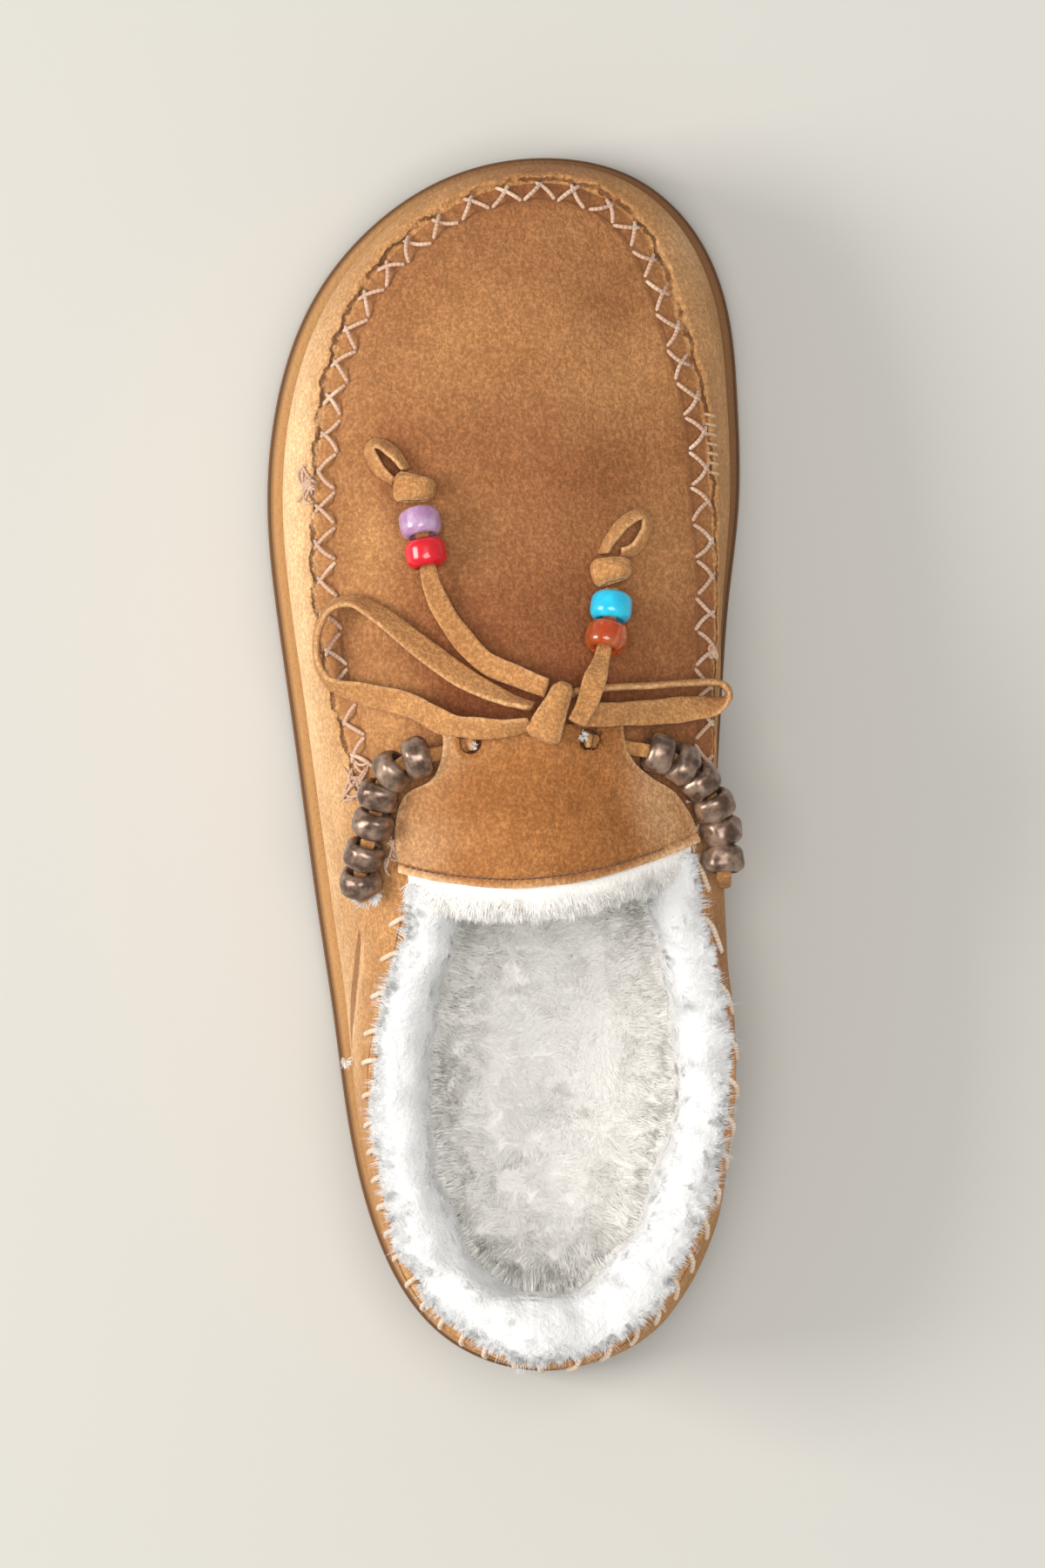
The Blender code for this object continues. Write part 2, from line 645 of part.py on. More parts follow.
def fleece_collar():
    """The deep fleece inside the collar, a horseshoe from throat to throat with its locks."""
    columns = np.arange(THROAT * STEPS + 1, (ROWS - THROAT) * STEPS)
    whole = np.array([fleece_section(column / STEPS) for column in columns])
    for end, corner in ((0, THROAT), (-1, ROWS - THROAT)):
        away = np.array([*inward(np.array(corner), "top"), 0]) * THROAT_INSET
        beyond = (fleece_section(corner) + away) * (1 - THROAT_GAP) + whole[end] * THROAT_GAP
        whole = np.insert(whole, 0 if end == 0 else len(whole), beyond, axis=0)
    between = (whole[1:] + whole[:-1]) / 2

    def build(bm):
        sections = [add_points(bm, whole[0])]
        for middle, section in zip(between, whole[1:]):
            sections += [add_points(bm, middle), add_points(bm, section)]
        for a, b in zip(sections, sections[1:]):
            join_rows(bm, a, b, closed=True)
        bm.faces.new(sections[0])
        bm.faces.new(sections[-1])
        bmesh.ops.recalc_face_normals(bm, faces=bm.faces)
        showing = {v for section in sections for v in section[4:10]}
        tufted = [f for f in bm.faces if all(v in showing for v in f.verts)]
        for number, face in enumerate(tufted):
            length = LOCK_LENGTH * (0.55 + 0.045 * ((number * 7) % 11))
            lean = Vector(((number * 5) % 7 - 3, (number * 3) % 5 - 2, 1)) / 10
            tip = face.calc_center_median() + (face.normal + lean) * length
            poked = bmesh.ops.poke(bm, faces=[face], offset=0)
            poked["verts"][0].co = tip

    return add_object("fleece_collar", mesh_from("fleece_collar", build), (0.9, 0.89, 0.87), 1.0)


def smooth_route(route, spacing):
    """Points at even spacing on a smooth line through a lace's route, with their tilts."""
    places = [
        (p.x * MM, p.y * MM, rest_height(p.x * MM, p.y * MM, p.above * MM), p.tilt)
        for p in route
    ]
    fine = open_spline(np.array(places), np.linspace(0, len(route) - 1, 40 * len(route)))
    steps = np.linalg.norm(np.diff(fine[:, :3], axis=0), axis=1)
    along = np.concatenate([[0], np.cumsum(steps)])
    count = max(3, round(along[-1] / spacing))
    at = np.linspace(0, along[-1], count + 1)
    return np.stack([np.interp(at, along, fine[:, k]) for k in range(4)], axis=-1)


def lace(name, route, width, spacing=5.4 * MM):
    """A flat lace with rounded edges on a route."""
    points = smooth_route(route, spacing)
    curve = bpy.data.curves.new(name, "CURVE")
    curve.dimensions = "3D"
    curve.twist_mode = "Z_UP"
    curve.bevel_depth = LACE_THICK / 2
    curve.extrude = (width - LACE_THICK) / 2
    curve.bevel_resolution = 1
    curve.use_fill_caps = True
    spline = curve.splines.new("POLY")
    spline.points.add(len(points) - 1)
    for point, place in zip(spline.points, points):
        point.co = (*place[:3], 1)
        point.tilt = np.radians(90 - place[3])
    return add_object(name, curve, (0.66, 0.42, 0.20), 0.95)


def bead(name, place, axis, length, colour, roughness, metallic=0.0):
    """A pony bead: a barrel with a wide bore, turned round its axis."""
    radius, bore, half = BEAD_DIAMETER / 2, BEAD_BORE / 2, length / 2
    profile = (
        (bore, half * 0.8),
        (bore + 0.5 * MM, half),
        (radius * 0.76, half * 0.84),
        (radius, half * 0.3),
        (radius, -half * 0.3),
        (radius * 0.76, -half * 0.84),
        (bore + 0.5 * MM, -half),
        (bore, -half * 0.8),
    )
    bm = bmesh.new()
    ring_of = [bm.verts.new((x, 0, z)) for x, z in profile]
    for a, b in zip(ring_of, ring_of[1:] + ring_of[:1]):
        bm.edges.new((a, b))
    mesh = bpy.data.meshes.new(name)
    bm.to_mesh(mesh)
    bm.free()
    obj = add_object(name, mesh, colour, roughness, metallic)
    turned = obj.modifiers.new("turned", "SCREW")
    turned.steps = turned.render_steps = 12
    turned.use_merge_vertices = True
    turned.merge_threshold = 0.00001
    turn = Vector((0, 0, 1)).rotation_difference(Vector(axis))
    obj.location = place
    obj.rotation_mode = "QUATERNION"
    obj.rotation_quaternion = turn
    return obj


def along_route(route, distance):
    """The place and the direction at a distance along a lace's route."""
    points = smooth_route(route, 0.5 * MM)[:, :3]
    steps = np.linalg.norm(np.diff(points, axis=0), axis=1)
    along = np.concatenate([[0], np.cumsum(steps)])

    def at(d):
        return np.array([np.interp(d, along, points[:, k]) for k in range(3)])

    ahead = at(distance + 2 * MM) - at(distance - 2 * MM)
    return at(distance), ahead / np.linalg.norm(ahead)


def distance_to(route, number):
    """How far along a lace's route its numbered point lies."""
    points = smooth_route(route, 0.5 * MM)[:, :3]
    p = route[number]
    away = np.hypot(points[:, 0] - p.x * MM, points[:, 1] - p.y * MM)
    steps = np.linalg.norm(np.diff(points, axis=0), axis=1)
    return steps[: int(away.argmin())].sum()


def bronze_beads():
    """Six beads on each run of the lace, with some lace showing after the outer side's fourth."""
    runs = (
        ("left", RUN_LEFT, 14.3 * MM, 6.15 * MM, 0.8 * MM),
        ("right", RUN_RIGHT, 17.3 * MM, 5.85 * MM, 0.0),
    )
    for side, route, start, pitch, bare in runs:
        for number in range(BEADS_A_SIDE):
            distance = start + number * pitch + (bare if number > 3 else 0)
            place, axis = along_route(route, distance)
            name = f"bead_bronze_{side}_{number + 1}"
            bead(name, place, axis, BEAD_LENGTH, (0.30, 0.22, 0.17), 0.3, 0.6)


def knot(name, x, y, above, size, turn):
    """A tied knot, a block of lace with its corners rounded away."""
    bm = bmesh.new()
    bmesh.ops.create_cube(bm, size=1)
    bmesh.ops.scale(bm, vec=size, verts=bm.verts)
    mesh = bpy.data.meshes.new(name)
    bm.to_mesh(mesh)
    bm.free()
    obj = add_object(name, mesh, (0.66, 0.42, 0.20), 0.95)
    rounding = obj.modifiers.new("rounding", "BEVEL")
    rounding.width = min(size) * 0.3
    rounding.segments = 3
    ahead, behind = (skin_height(x * MM, y * MM + step) for step in (3 * MM, -3 * MM))
    obj.location = (x * MM, y * MM, (ahead + behind) / 2 + above * MM)
    obj.rotation_euler = (np.arctan2(ahead - behind, 6 * MM), 0, np.radians(turn))
    return obj


def bow():
    """The bow in front of the flap, its two tails with their coloured beads, and what ends them."""
    knot("bow_knot", 10.3, 10.8, 8.0, (6.0 * MM, 10.0 * MM, 5.0 * MM), -24)
    lace("bow_loop_left", LOOP_LEFT, LACE_WIDTH)
    lace("bow_loop_right", LOOP_RIGHT, LACE_WIDTH)
    lace("lace_tail_left", TAIL_LEFT, LACE_IN_BEAD)
    lace("lace_tail_right", TAIL_RIGHT, LACE_IN_BEAD)
    knot("tail_knot_left", -18.2, 56.8, 3.3, (7.4 * MM, 5.6 * MM, 4.4 * MM), -8)
    knot("tail_knot_right", 22.2, 39.8, 3.3, (7.0 * MM, 5.0 * MM, 4.4 * MM), 12)
    lace("tail_end_left", END_LEFT, LACE_IN_BEAD, 3.0 * MM)
    lace("tail_end_right", END_RIGHT, LACE_IN_BEAD, 3.0 * MM)
    beads = (
        ("bead_red", TAIL_LEFT, 5, (0.75, 0.01, 0.02)),
        ("bead_lilac", TAIL_LEFT, 6, (0.45, 0.25, 0.45)),
        ("bead_amber", TAIL_RIGHT, 4, (0.75, 0.12, 0.02)),
        ("bead_turquoise", TAIL_RIGHT, 5, (0.01, 0.45, 0.75)),
    )
    for name, route, number, colour in beads:
        place, axis = along_route(route, distance_to(route, number))
        bead(name, place, axis, TAIL_BEAD_LENGTH, colour, 0.2)


PARTS = None
CUTTERS = None
SKIN = None


def main():
    global PARTS, CUTTERS, SKIN
    for obj in list(bpy.data.objects):
        bpy.data.objects.remove(obj)
    PARTS = bpy.data.collections.new("slipper")
    CUTTERS = bpy.data.collections.new("cutters")
    for collection in (PARTS, CUTTERS):
        bpy.context.scene.collection.children.link(collection)
    SKIN = skin_tree()
    outsole()
    insole()
    upper()
    throat_flap()
    fleece_collar()
    for side, route in (("left", RUN_LEFT), ("right", RUN_RIGHT)):
        lace(f"lace_run_{side}", route, LACE_IN_BEAD, 3.5 * MM)
    bronze_beads()
    bow()


main()
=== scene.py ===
import bpy
import bmesh
import numpy as np
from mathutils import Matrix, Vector
from mathutils.bvhtree import BVHTree


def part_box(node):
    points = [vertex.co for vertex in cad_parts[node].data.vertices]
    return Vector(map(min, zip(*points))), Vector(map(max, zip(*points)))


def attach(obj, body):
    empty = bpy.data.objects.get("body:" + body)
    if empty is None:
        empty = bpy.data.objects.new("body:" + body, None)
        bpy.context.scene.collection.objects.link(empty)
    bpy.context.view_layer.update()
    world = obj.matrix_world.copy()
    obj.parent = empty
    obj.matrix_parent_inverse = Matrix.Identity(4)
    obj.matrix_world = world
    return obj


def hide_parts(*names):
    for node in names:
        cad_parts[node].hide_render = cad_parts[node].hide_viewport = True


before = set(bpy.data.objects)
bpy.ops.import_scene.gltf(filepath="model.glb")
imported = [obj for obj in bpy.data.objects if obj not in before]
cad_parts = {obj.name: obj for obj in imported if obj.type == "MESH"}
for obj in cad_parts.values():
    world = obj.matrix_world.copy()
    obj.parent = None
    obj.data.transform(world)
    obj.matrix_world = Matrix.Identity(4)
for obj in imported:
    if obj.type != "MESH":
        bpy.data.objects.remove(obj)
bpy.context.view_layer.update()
mm = 0.001
heelEnd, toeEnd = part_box("outsole")
soleLength = toeEnd[1] - heelEnd[1]
soleWidth = toeEnd[0] - heelEnd[0]
print("frame loaded")


def addObject(name, data):
    # a new object in the scene
    made = bpy.data.objects.new(name, data)
    bpy.context.scene.collection.objects.link(made)
    return made


# share: of the picture's height that the sole takes
view = {"share": 0.77, "lens": 200, "sensor": 36, "offset": (4 * mm, -4 * mm), "far": 20}


def addCamera():
    # straight above, a little off the sole's middle; distance = height seen / sensor height * lens
    data = bpy.data.cameras.new("camera")
    data.sensor_fit = "VERTICAL"
    data.sensor_height = view["sensor"]
    data.lens = view["lens"]
    data.clip_end = view["far"]
    camera = addObject("camera", data)
    camera.location = (*view["offset"], soleLength / view["share"] / view["sensor"] * view["lens"])
    bpy.context.scene.camera = camera


lamps = {
    "sky": ((0.99, 0.99, 0.98), 0.365),
    "key": {"at": (-1.34, 0.06, 0.84), "size": 0.7, "power": 19.0, "colour": (1.0, 0.965, 0.92)},
    "top": {"at": (0.04, -0.08, 1.65), "size": 0.9, "power": 18.0, "colour": (1.0, 0.985, 0.96)},
}


def addLights():
    # a wide soft lamp over the upper left, one straight above to reach the footbed, and an even sky
    for name in ("key", "top"):
        data = bpy.data.lights.new(name, "AREA")
        data.color = lamps[name]["colour"]
        data.size = lamps[name]["size"]
        data.energy = lamps[name]["power"]
        lamp = addObject(name, data)
        lamp.location = lamps[name]["at"]
        lamp.rotation_euler = Vector(lamps[name]["at"]).to_track_quat("Z", "Y").to_euler()
    world = bpy.data.worlds.new("sky")
    world.use_nodes = True
    back = world.node_tree.nodes["Background"]
    back.inputs["Color"].default_value = (*lamps["sky"][0], 1)
    back.inputs["Strength"].default_value = lamps["sky"][1]
    bpy.context.scene.world = world
    bpy.context.scene.view_settings.view_transform = "Standard"


addCamera()
addLights()
print("camera and lights placed")


class Wire:
    # one output of a node; plain arithmetic on it adds Math nodes
    def __init__(self, finish, socket):
        self.finish = finish
        self.socket = socket

    def maths(self, operation, a, b=0.0):
        # a Math node on two wires or numbers
        return self.finish.node("Math", {"operation": operation}, {0: a, 1: b})

    def __add__(self, other):
        return self.maths("ADD", self, other)

    def __sub__(self, other):
        return self.maths("SUBTRACT", self, other)

    def __mul__(self, other):
        return self.maths("MULTIPLY", self, other)

    def __rsub__(self, other):
        return self.maths("SUBTRACT", other, self)

    def __abs__(self):
        return self.maths("ABSOLUTE", self)

    __radd__ = __add__
    __rmul__ = __mul__

    def sine(self):
        # of an angle in radians
        return self.maths("SINE", self)

    def ramp(self, low, high):
        # 0 below low, 1 above high, smooth between; low above high turns it round
        flip = low > high
        ends = {"From Min": min(low, high), "From Max": max(low, high)}
        made = self.finish.node("MapRange", {"interpolation_type": "SMOOTHSTEP"}, {"Value": self, **ends})
        return 1 - made if flip else made


class Finish:
    # a material with its Principled shader and the calls that wire it
    def __init__(self, name, **plain):
        self.material = bpy.data.materials.new(name)
        self.material.use_nodes = True
        self.tree = self.material.node_tree
        self.shader = self.tree.nodes["Principled BSDF"]
        for socket, value in plain.items():
            self.shader.inputs[socket.replace("_", " ")].default_value = value

    def feed(self, socket, value):
        # links a wire, or sets a plain number or colour
        if isinstance(value, Wire):
            self.tree.links.new(value.socket, socket)
        elif socket.type == "RGBA":
            socket.default_value = (*value[:3], 1)
        else:
            socket.default_value = value

    def node(self, kind, settings=None, values=None, out=0):
        # a new shader node with its settings and inputs, as the wire of one output
        made = self.tree.nodes.new("ShaderNode" + kind)
        for key, value in (settings or {}).items():
            setattr(made, key, value)
        for key, value in (values or {}).items():
            self.feed(made.inputs[key], value)
        return Wire(self, made.outputs[out])

    def place(self):
        # the object's own coordinates
        return self.node("TexCoord", out="Object")

    def noise(self, size, detail=2.0, rough=0.5, where=None):
        # size: of the pattern's features, in metres
        values = {"Vector": where or self.place(), "Scale": 1 / size, "Detail": detail, "Roughness": rough}
        return self.node("TexNoise", {}, values)

    def stretched(self, scale, turn):
        # the same, turned and scaled, for a pattern that runs one way
        values = {"Vector": self.place(), "Scale": scale, "Rotation": (0, 0, turn)}
        return self.node("Mapping", {}, values)

    def attribute(self, name):
        # the numbers that addPiece gave each point
        return self.node("Attribute", {"attribute_name": name}, out="Fac")

    def mix(self, share, a, b, blend="MIX"):
        # a * (1 - share) + b * share, or a times the same blend of 1 and b
        made = self.tree.nodes.new("ShaderNodeMix")
        made.data_type = "RGBA"
        made.blend_type = blend
        made.clamp_factor = True
        self.feed(made.inputs["Factor"], share)
        self.feed(made.inputs[6], a)
        self.feed(made.inputs[7], b)
        return Wire(self, made.outputs[2])

    def bump(self, height, depth, under=None):
        # depth: metres that a height of 1 stands for
        values = {"Height": height, "Distance": depth, "Strength": 1.0}
        if under:
            values["Normal"] = under
        return self.node("Bump", {}, values)

    def paint(self, **wires):
        # the finished material, its shader's inputs named with _ for a space
        for socket, wire in wires.items():
            self.feed(self.shader.inputs[socket.replace("_", " ")], wire)
        return self.material


def gridFaces(grid, ringed=False, looped=False):
    # the quads of a grid of points, closed across its columns if ringed and down its rows if looped
    rows, columns = grid.shape[:2]
    index = np.arange(rows * columns).reshape(rows, columns)
    if ringed:
        index = np.concatenate([index, index[:, :1]], axis=1)
    if looped:
        index = np.concatenate([index, index[:1]])
    quads = (index[:-1, :-1], index[:-1, 1:], index[1:, 1:], index[1:, :-1])
    return np.stack(quads, axis=-1).reshape(-1, 4)


def addPiece(name, points, faces, finish, stands=(), merge=0.0, values=None, flip=False):
    # a mesh object from whole arrays; values: name -> a number for each point, or one for all
    material, slot = finishes[finish]
    points = np.asarray(points, float).reshape(-1, 3)
    blocks = faces if isinstance(faces, list) else [faces]
    if flip:
        blocks = [block[:, ::-1] for block in blocks]
    sizes = np.concatenate([np.full(len(block), block.shape[1]) for block in blocks])
    corners = np.concatenate([block.ravel() for block in blocks])
    mesh = bpy.data.meshes.new(name)
    mesh.vertices.add(len(points))
    mesh.vertices.foreach_set("co", points.ravel())
    mesh.loops.add(len(corners))
    mesh.loops.foreach_set("vertex_index", corners.astype(np.int32))
    mesh.polygons.add(len(sizes))
    mesh.polygons.foreach_set("loop_start", (np.cumsum(sizes) - sizes).astype(np.int32))
    mesh.update(calc_edges=True)
    for key, numbers in (values or {}).items():
        layer = mesh.attributes.new(key, "FLOAT", "POINT")
        layer.data.foreach_set("value", np.broadcast_to(np.ravel(numbers), len(points)).astype(np.float32))
    if merge:
        bm = bmesh.new()
        bm.from_mesh(mesh)
        bmesh.ops.remove_doubles(bm, verts=bm.verts, dist=merge)
        bm.to_mesh(mesh)
        bm.free()
    mesh.shade_smooth()
    mesh.materials.append(material)
    piece = addObject(name, mesh)
    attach(piece, "root")
    if stands:
        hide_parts(*stands)
    return piece


def gridPart(grid, ringed=False, looped=False, over=False):
    # a grid and its quads, turned over if told to
    return grid, gridFaces(grid, ringed, looped)[:, ::-1 if over else 1]


def joinParts(parts):
    # several (points, faces) pairs as one pair, the face numbers moved on past the earlier points
    starts = np.cumsum([0] + [len(points.reshape(-1, 3)) for points, _ in parts])
    points = np.concatenate([points.reshape(-1, 3) for points, _ in parts])
    return points, [faces + start for (_, faces), start in zip(parts, starts)]


def unit(v):
    # each vector over its own length
    return v / np.linalg.norm(v, axis=-1, keepdims=True).clip(1e-12)


def ripple(points, size, seed, waves=14):
    # a smooth random field near -1..1: a mean of sines whose waves, about size long, run all ways
    rng = np.random.default_rng(seed)
    ways = unit(rng.normal(size=(waves, 3))) * rng.uniform(0.6, 1.5, (waves, 1)) * 2 * np.pi / size
    phases = rng.uniform(0, 2 * np.pi, waves)
    return np.sin(points @ ways.T + phases).sum(axis=-1) * np.sqrt(2 / waves) / 1.6


def smoothStep(x, low, high):
    # 0 below low, 1 above high, 3 t^2 - 2 t^3 between
    t = np.clip((x - low) / (high - low), 0, 1)
    return t * t * (3 - 2 * t)


def plateau(x, low, high, falls, ends):
    # rises from low to high and goes back to 0 from falls to ends
    return smoothStep(x, low, high) * (1 - smoothStep(x, falls, ends))


def bell(x, width):
    # exp(-(x / width)^2)
    return np.exp(-((x / width) ** 2))


def blot(points, x, y, wide, long):
    # an oval bell over the level place x, y; sizes in mm
    return np.exp(-(((points[..., 0] / mm - x) / wide) ** 2) - ((points[..., 1] / mm - y) / long) ** 2)


def rounded(x, power):
    # |x|^power with the sign of x
    return np.sign(x) * np.abs(x) ** power


def roundAngles(count):
    # even angles round a circle
    return np.linspace(0, 2 * np.pi, count, endpoint=False)


def runAlong(points):
    # each point's distance along its line
    return np.concatenate([[0], np.cumsum(np.linalg.norm(np.diff(points, axis=0), axis=1))])


def lookUp(at, along, table):
    # each column of a table, straight between its rows
    return np.stack([np.interp(at, along, column) for column in table.T], axis=-1)


def facingUp(normals):
    # turned over where they point down
    return normals * np.sign(normals[..., 2:])


def chord(left, right, s):
    # from left at s = -1 to right at s = 1
    return left * (1 - s) / 2 + right * (1 + s) / 2


def ripples(points, size, seed):
    # three ripple fields as a vector
    return np.stack([ripple(points, size, seed + k) for k in range(3)], axis=-1)


straightUp = np.array([0, 0, 1.0])
lastSizes = {
    "length": soleLength,
    "gap": 0.3 * mm,
    "wall": 2.0 * mm,
    "thick": 10.5 * mm,
    "heelLift": 1.5 * mm,
    "archRise": 2.2 * mm,
    "archTop": 0.25,
    "arch": (-42 * mm, 18 * mm),
    "toeSpring": (82 * mm, 5 * mm),
    "heelBevel": (-112 * mm, 1.2 * mm),
    "tuck": 1.2 * mm,
    "plugBow": 1.6 * mm,
    "insole": 7.5 * mm,
}
# sole x, sole y, ledge, top x, top y, top z, lean, crown, from the toe to the heel, in mm
outerSide = (
    (9.4, 127.5, 1.4, 7.5, 120.6, 33.0, 1.0, 0.0),
    (-12.0, 123.4, 1.8, -8.5, 116.8, 33.4, 1.0, 1.6),
    (-28.7, 112.4, 2.4, -20.5, 108.3, 34.0, 1.0, 4.0),
    (-40.9, 96.6, 2.8, -30.3, 95.8, 35.0, 1.0, 6.8),
    (-47.6, 77.5, 2.8, -36.5, 77.5, 36.2, 1.0, 9.0),
    (-49.8, 53.0, 2.8, -38.5, 53.0, 38.0, 1.0, 11.0),
    (-47.6, 30.0, 2.8, -37.6, 29.5, 40.5, 1.05, 13.2),
    (-44.4, 7.5, 2.6, -32.8, 8.5, 44.0, 1.1, 15.2),
    (-41.4, -14.6, 2.4, -26.6, -9.5, 48.5, 1.2, 15.4),
    (-39.3, -30.0, 2.2, -20.4, -22.5, 51.0, 1.35, 14.0),
    (-36.0, -52.0, 2.0, -26.0, -51.0, 45.0, 1.5, 12.0),
    (-32.3, -78.0, 1.6, -27.4, -77.0, 41.5, 1.55, 10.0),
    (-26.5, -99.8, 1.4, -23.2, -98.8, 41.5, 1.5, 10.0),
    (-13.8, -119.4, 1.4, -11.9, -116.3, 43.0, 1.45, 10.0),
    (8.9, -127.5, 1.4, 8.9, -124.5, 45.0, 1.4, 10.0),
)
innerSide = (
    (28.0, 123.2, 1.6, 20.6, 117.6, 33.4, 1.0, 1.6),
    (40.3, 112.2, 1.8, 29.3, 109.5, 34.2, 1.0, 4.0),
    (47.2, 96.0, 1.8, 35.0, 95.5, 35.4, 1.0, 6.8),
    (49.3, 77.0, 1.8, 40.3, 77.0, 36.8, 1.0, 9.0),
    (49.6, 55.0, 1.6, 42.8, 54.5, 38.6, 1.0, 11.0),
    (47.4, 34.0, 1.0, 43.7, 33.5, 41.0, 1.1, 13.2),
    (46.0, 14.0, 0.6, 43.2, 12.0, 43.5, 1.2, 15.2),
    (44.9, -5.0, -0.2, 42.6, -4.5, 46.0, 1.3, 15.4),
    (44.5, -26.0, -3.4, 39.8, -16.0, 49.0, 1.35, 14.0),
    (45.2, -54.0, -3.4, 47.0, -53.0, 43.0, 1.5, 12.0),
    (45.6, -80.0, -2.2, 46.5, -79.0, 41.0, 1.55, 10.0),
    (41.9, -102.6, -1.3, 39.8, -100.5, 41.5, 1.5, 10.0),
    (29.6, -119.9, -0.9, 27.9, -117.2, 43.0, 1.45, 10.0),
)
stations = np.array(outerSide + innerSide[::-1])
rowCount = len(stations)
throatRow = 9  # the throat's outer corner
heelRow = 14  # the middle of the heel


def closedSpline(values):
    # a smooth cubic through closed rows, spaced by their distances along the outline
    steps = np.linalg.norm(np.roll(values[:, :2], -1, axis=0) - values[:, :2], axis=1)
    before = np.roll(steps, 1)
    n = np.arange(len(values))
    matrix = np.zeros((len(n), len(n)))
    matrix[n, n] = 2 * (steps + before)
    matrix[n, (n + 1) % len(n)] += steps
    matrix[n, n - 1] += before
    rise = (np.roll(values, -1, axis=0) - values) / steps[:, None]
    bend = np.linalg.solve(matrix, 6 * (rise - np.roll(rise, 1, axis=0)))

    def at(row):
        # a * this row + f * the next + step^2 / 6 * ((a^3 - a) * bend + (f^3 - f) * next bend), a = 1 - f
        row = np.asarray(row, float) % len(n)
        i = np.floor(row).astype(int) % len(n)
        f = (row - np.floor(row))[..., None]
        a = 1 - f
        j = (i + 1) % len(n)
        curve = (a**3 - a) * bend[i] + (f**3 - f) * bend[j]
        return a * values[i] + f * values[j] + steps[i][..., None] ** 2 / 6 * curve

    return at


def ringRows(count):
    # even row numbers round the foot
    return np.linspace(0, rowCount, count, endpoint=False)


rawRing = closedSpline(stations)
fineOutline = rawRing(ringRows(1120))[:, :2]
outlineMiddle = (fineOutline.min(axis=0) + fineOutline.max(axis=0)) / 2
outlineStretch = np.array([soleWidth, soleLength]) / np.ptp(fineOutline, axis=0)


def ring(row):
    # the outline, ledge, topline, lean and crown at row numbers, in metres
    v = rawRing(row)
    sole = (v[..., 0:2] - outlineMiddle) * outlineStretch
    top = (v[..., 3:5] - outlineMiddle) * outlineStretch
    return sole, v[..., 2:3] * mm, np.concatenate([top, v[..., 5:6] * mm], axis=-1), v[..., 6:7], v[..., 7:8] * mm


def inward(row, part=0):
    # level, square to the outline (part 0) or to the topline (part 2), pointing in
    row = np.asarray(row, float)
    along = unit((ring(row + 0.02)[part] - ring(row - 0.02)[part])[..., :2])
    return np.stack([-along[..., 1], along[..., 0]], axis=-1)


def collarPull(rows):
    # inward from the topline, with a height of 0
    return np.concatenate([inward(rows, 2), np.zeros((*np.shape(rows), 1))], axis=-1)


def archHeight(y):
    # sine squared between the arch's ends
    low, high = lastSizes["arch"]
    return lastSizes["archRise"] * np.sin(np.pi * np.clip((y - low) / (high - low), 0, 1)) ** 2


def springHeight(y):
    # the square of the share of the way to the toe's tip
    start, rise = lastSizes["toeSpring"]
    return rise * np.clip((y - start) / (lastSizes["length"] / 2 - start), 0, 1) ** 2


def underside(y):
    # flat, plus the toe spring, the heel's bevel and the arch
    start, rise = lastSizes["heelBevel"]
    bevel = np.clip((start - y) / (start + lastSizes["length"] / 2), 0, 1)
    return springHeight(y) + rise * bevel**2 + archHeight(y)


def soleTop(y):
    # thickness, plus the toe spring, the heel's lift and a share of the arch
    heel = lastSizes["heelLift"] * smoothStep(-y, -30 * mm, 60 * mm)
    return springHeight(y) + lastSizes["thick"] + heel + lastSizes["archTop"] * archHeight(y)


def overSole(y):
    # a gap over the sole, where the upper, collar and footbed stand
    return soleTop(y) + lastSizes["gap"]


def wallPoint(row, turn):
    # superellipse from the sole's ledge (turn 0) to the topline (turn 90), tucked in at its foot
    row, turn = np.broadcast_arrays(np.asarray(row, float), np.asarray(turn, float))
    sole, ledge, top, lean, _ = ring(row)
    angle = np.radians(turn)[..., None]
    side = np.cos(angle).clip(0) ** lean
    height = np.sin(angle).clip(0) ** lean
    tuck = lastSizes["tuck"] + (np.sqrt(ledge**2 + mm**2) - ledge) / 2
    widest = sole + inward(row) * (ledge + tuck * (1 - height) ** 3)
    flat = top[..., :2] + (widest - top[..., :2]) * side
    low = overSole(sole[..., 1:2])
    return np.concatenate([flat, low + (top[..., 2:3] - low) * height], axis=-1)


def wallOut(row, turn):
    # cross product of the steps along and up the wall
    along = wallPoint(row + 0.05, turn) - wallPoint(row - 0.05, turn)
    return unit(np.cross(along, wallPoint(row, turn) - wallPoint(row, turn - 4.0)))


def plugPoint(row, across):
    # the chord between the two toplines, raised by crown * (1 - across squared)
    row, s = np.broadcast_arrays(np.asarray(row, float), np.asarray(across, float))
    left, right = ring(row), ring(rowCount - row)
    s = s[..., None]
    bow = lastSizes["plugBow"] * np.clip((row[..., None] - 6) / 3, 0, 1)
    return chord(left[2], right[2], s) + np.concatenate([0 * s, -bow * (1 - s**2), left[4] * (1 - s**2)], axis=-1)


def catmullRom(before, a, b, after, f):
    # a + f * (b - before + f * (bend + f * turn)) / 2, the share f of the way from a to b
    bend = 2 * before - 5 * a + 4 * b - after
    turn = 3 * (a - b) + after - before
    return a + f * (b - before + f * (bend + f * turn)) / 2


def openSpline(values, at):
    # Catmull-Rom through the rows of a table
    last = len(values) - 1
    i = np.clip(np.floor(at).astype(int), 0, last - 1)
    ends = values[np.maximum(i - 1, 0)], values[i], values[i + 1], values[np.minimum(i + 2, last)]
    return catmullRom(*ends, (at - i)[..., None])


def surfaceTree(points, faces):
    # a surface to drop things onto
    return BVHTree.FromPolygons(np.asarray(points).reshape(-1, 3).tolist(), faces.tolist())


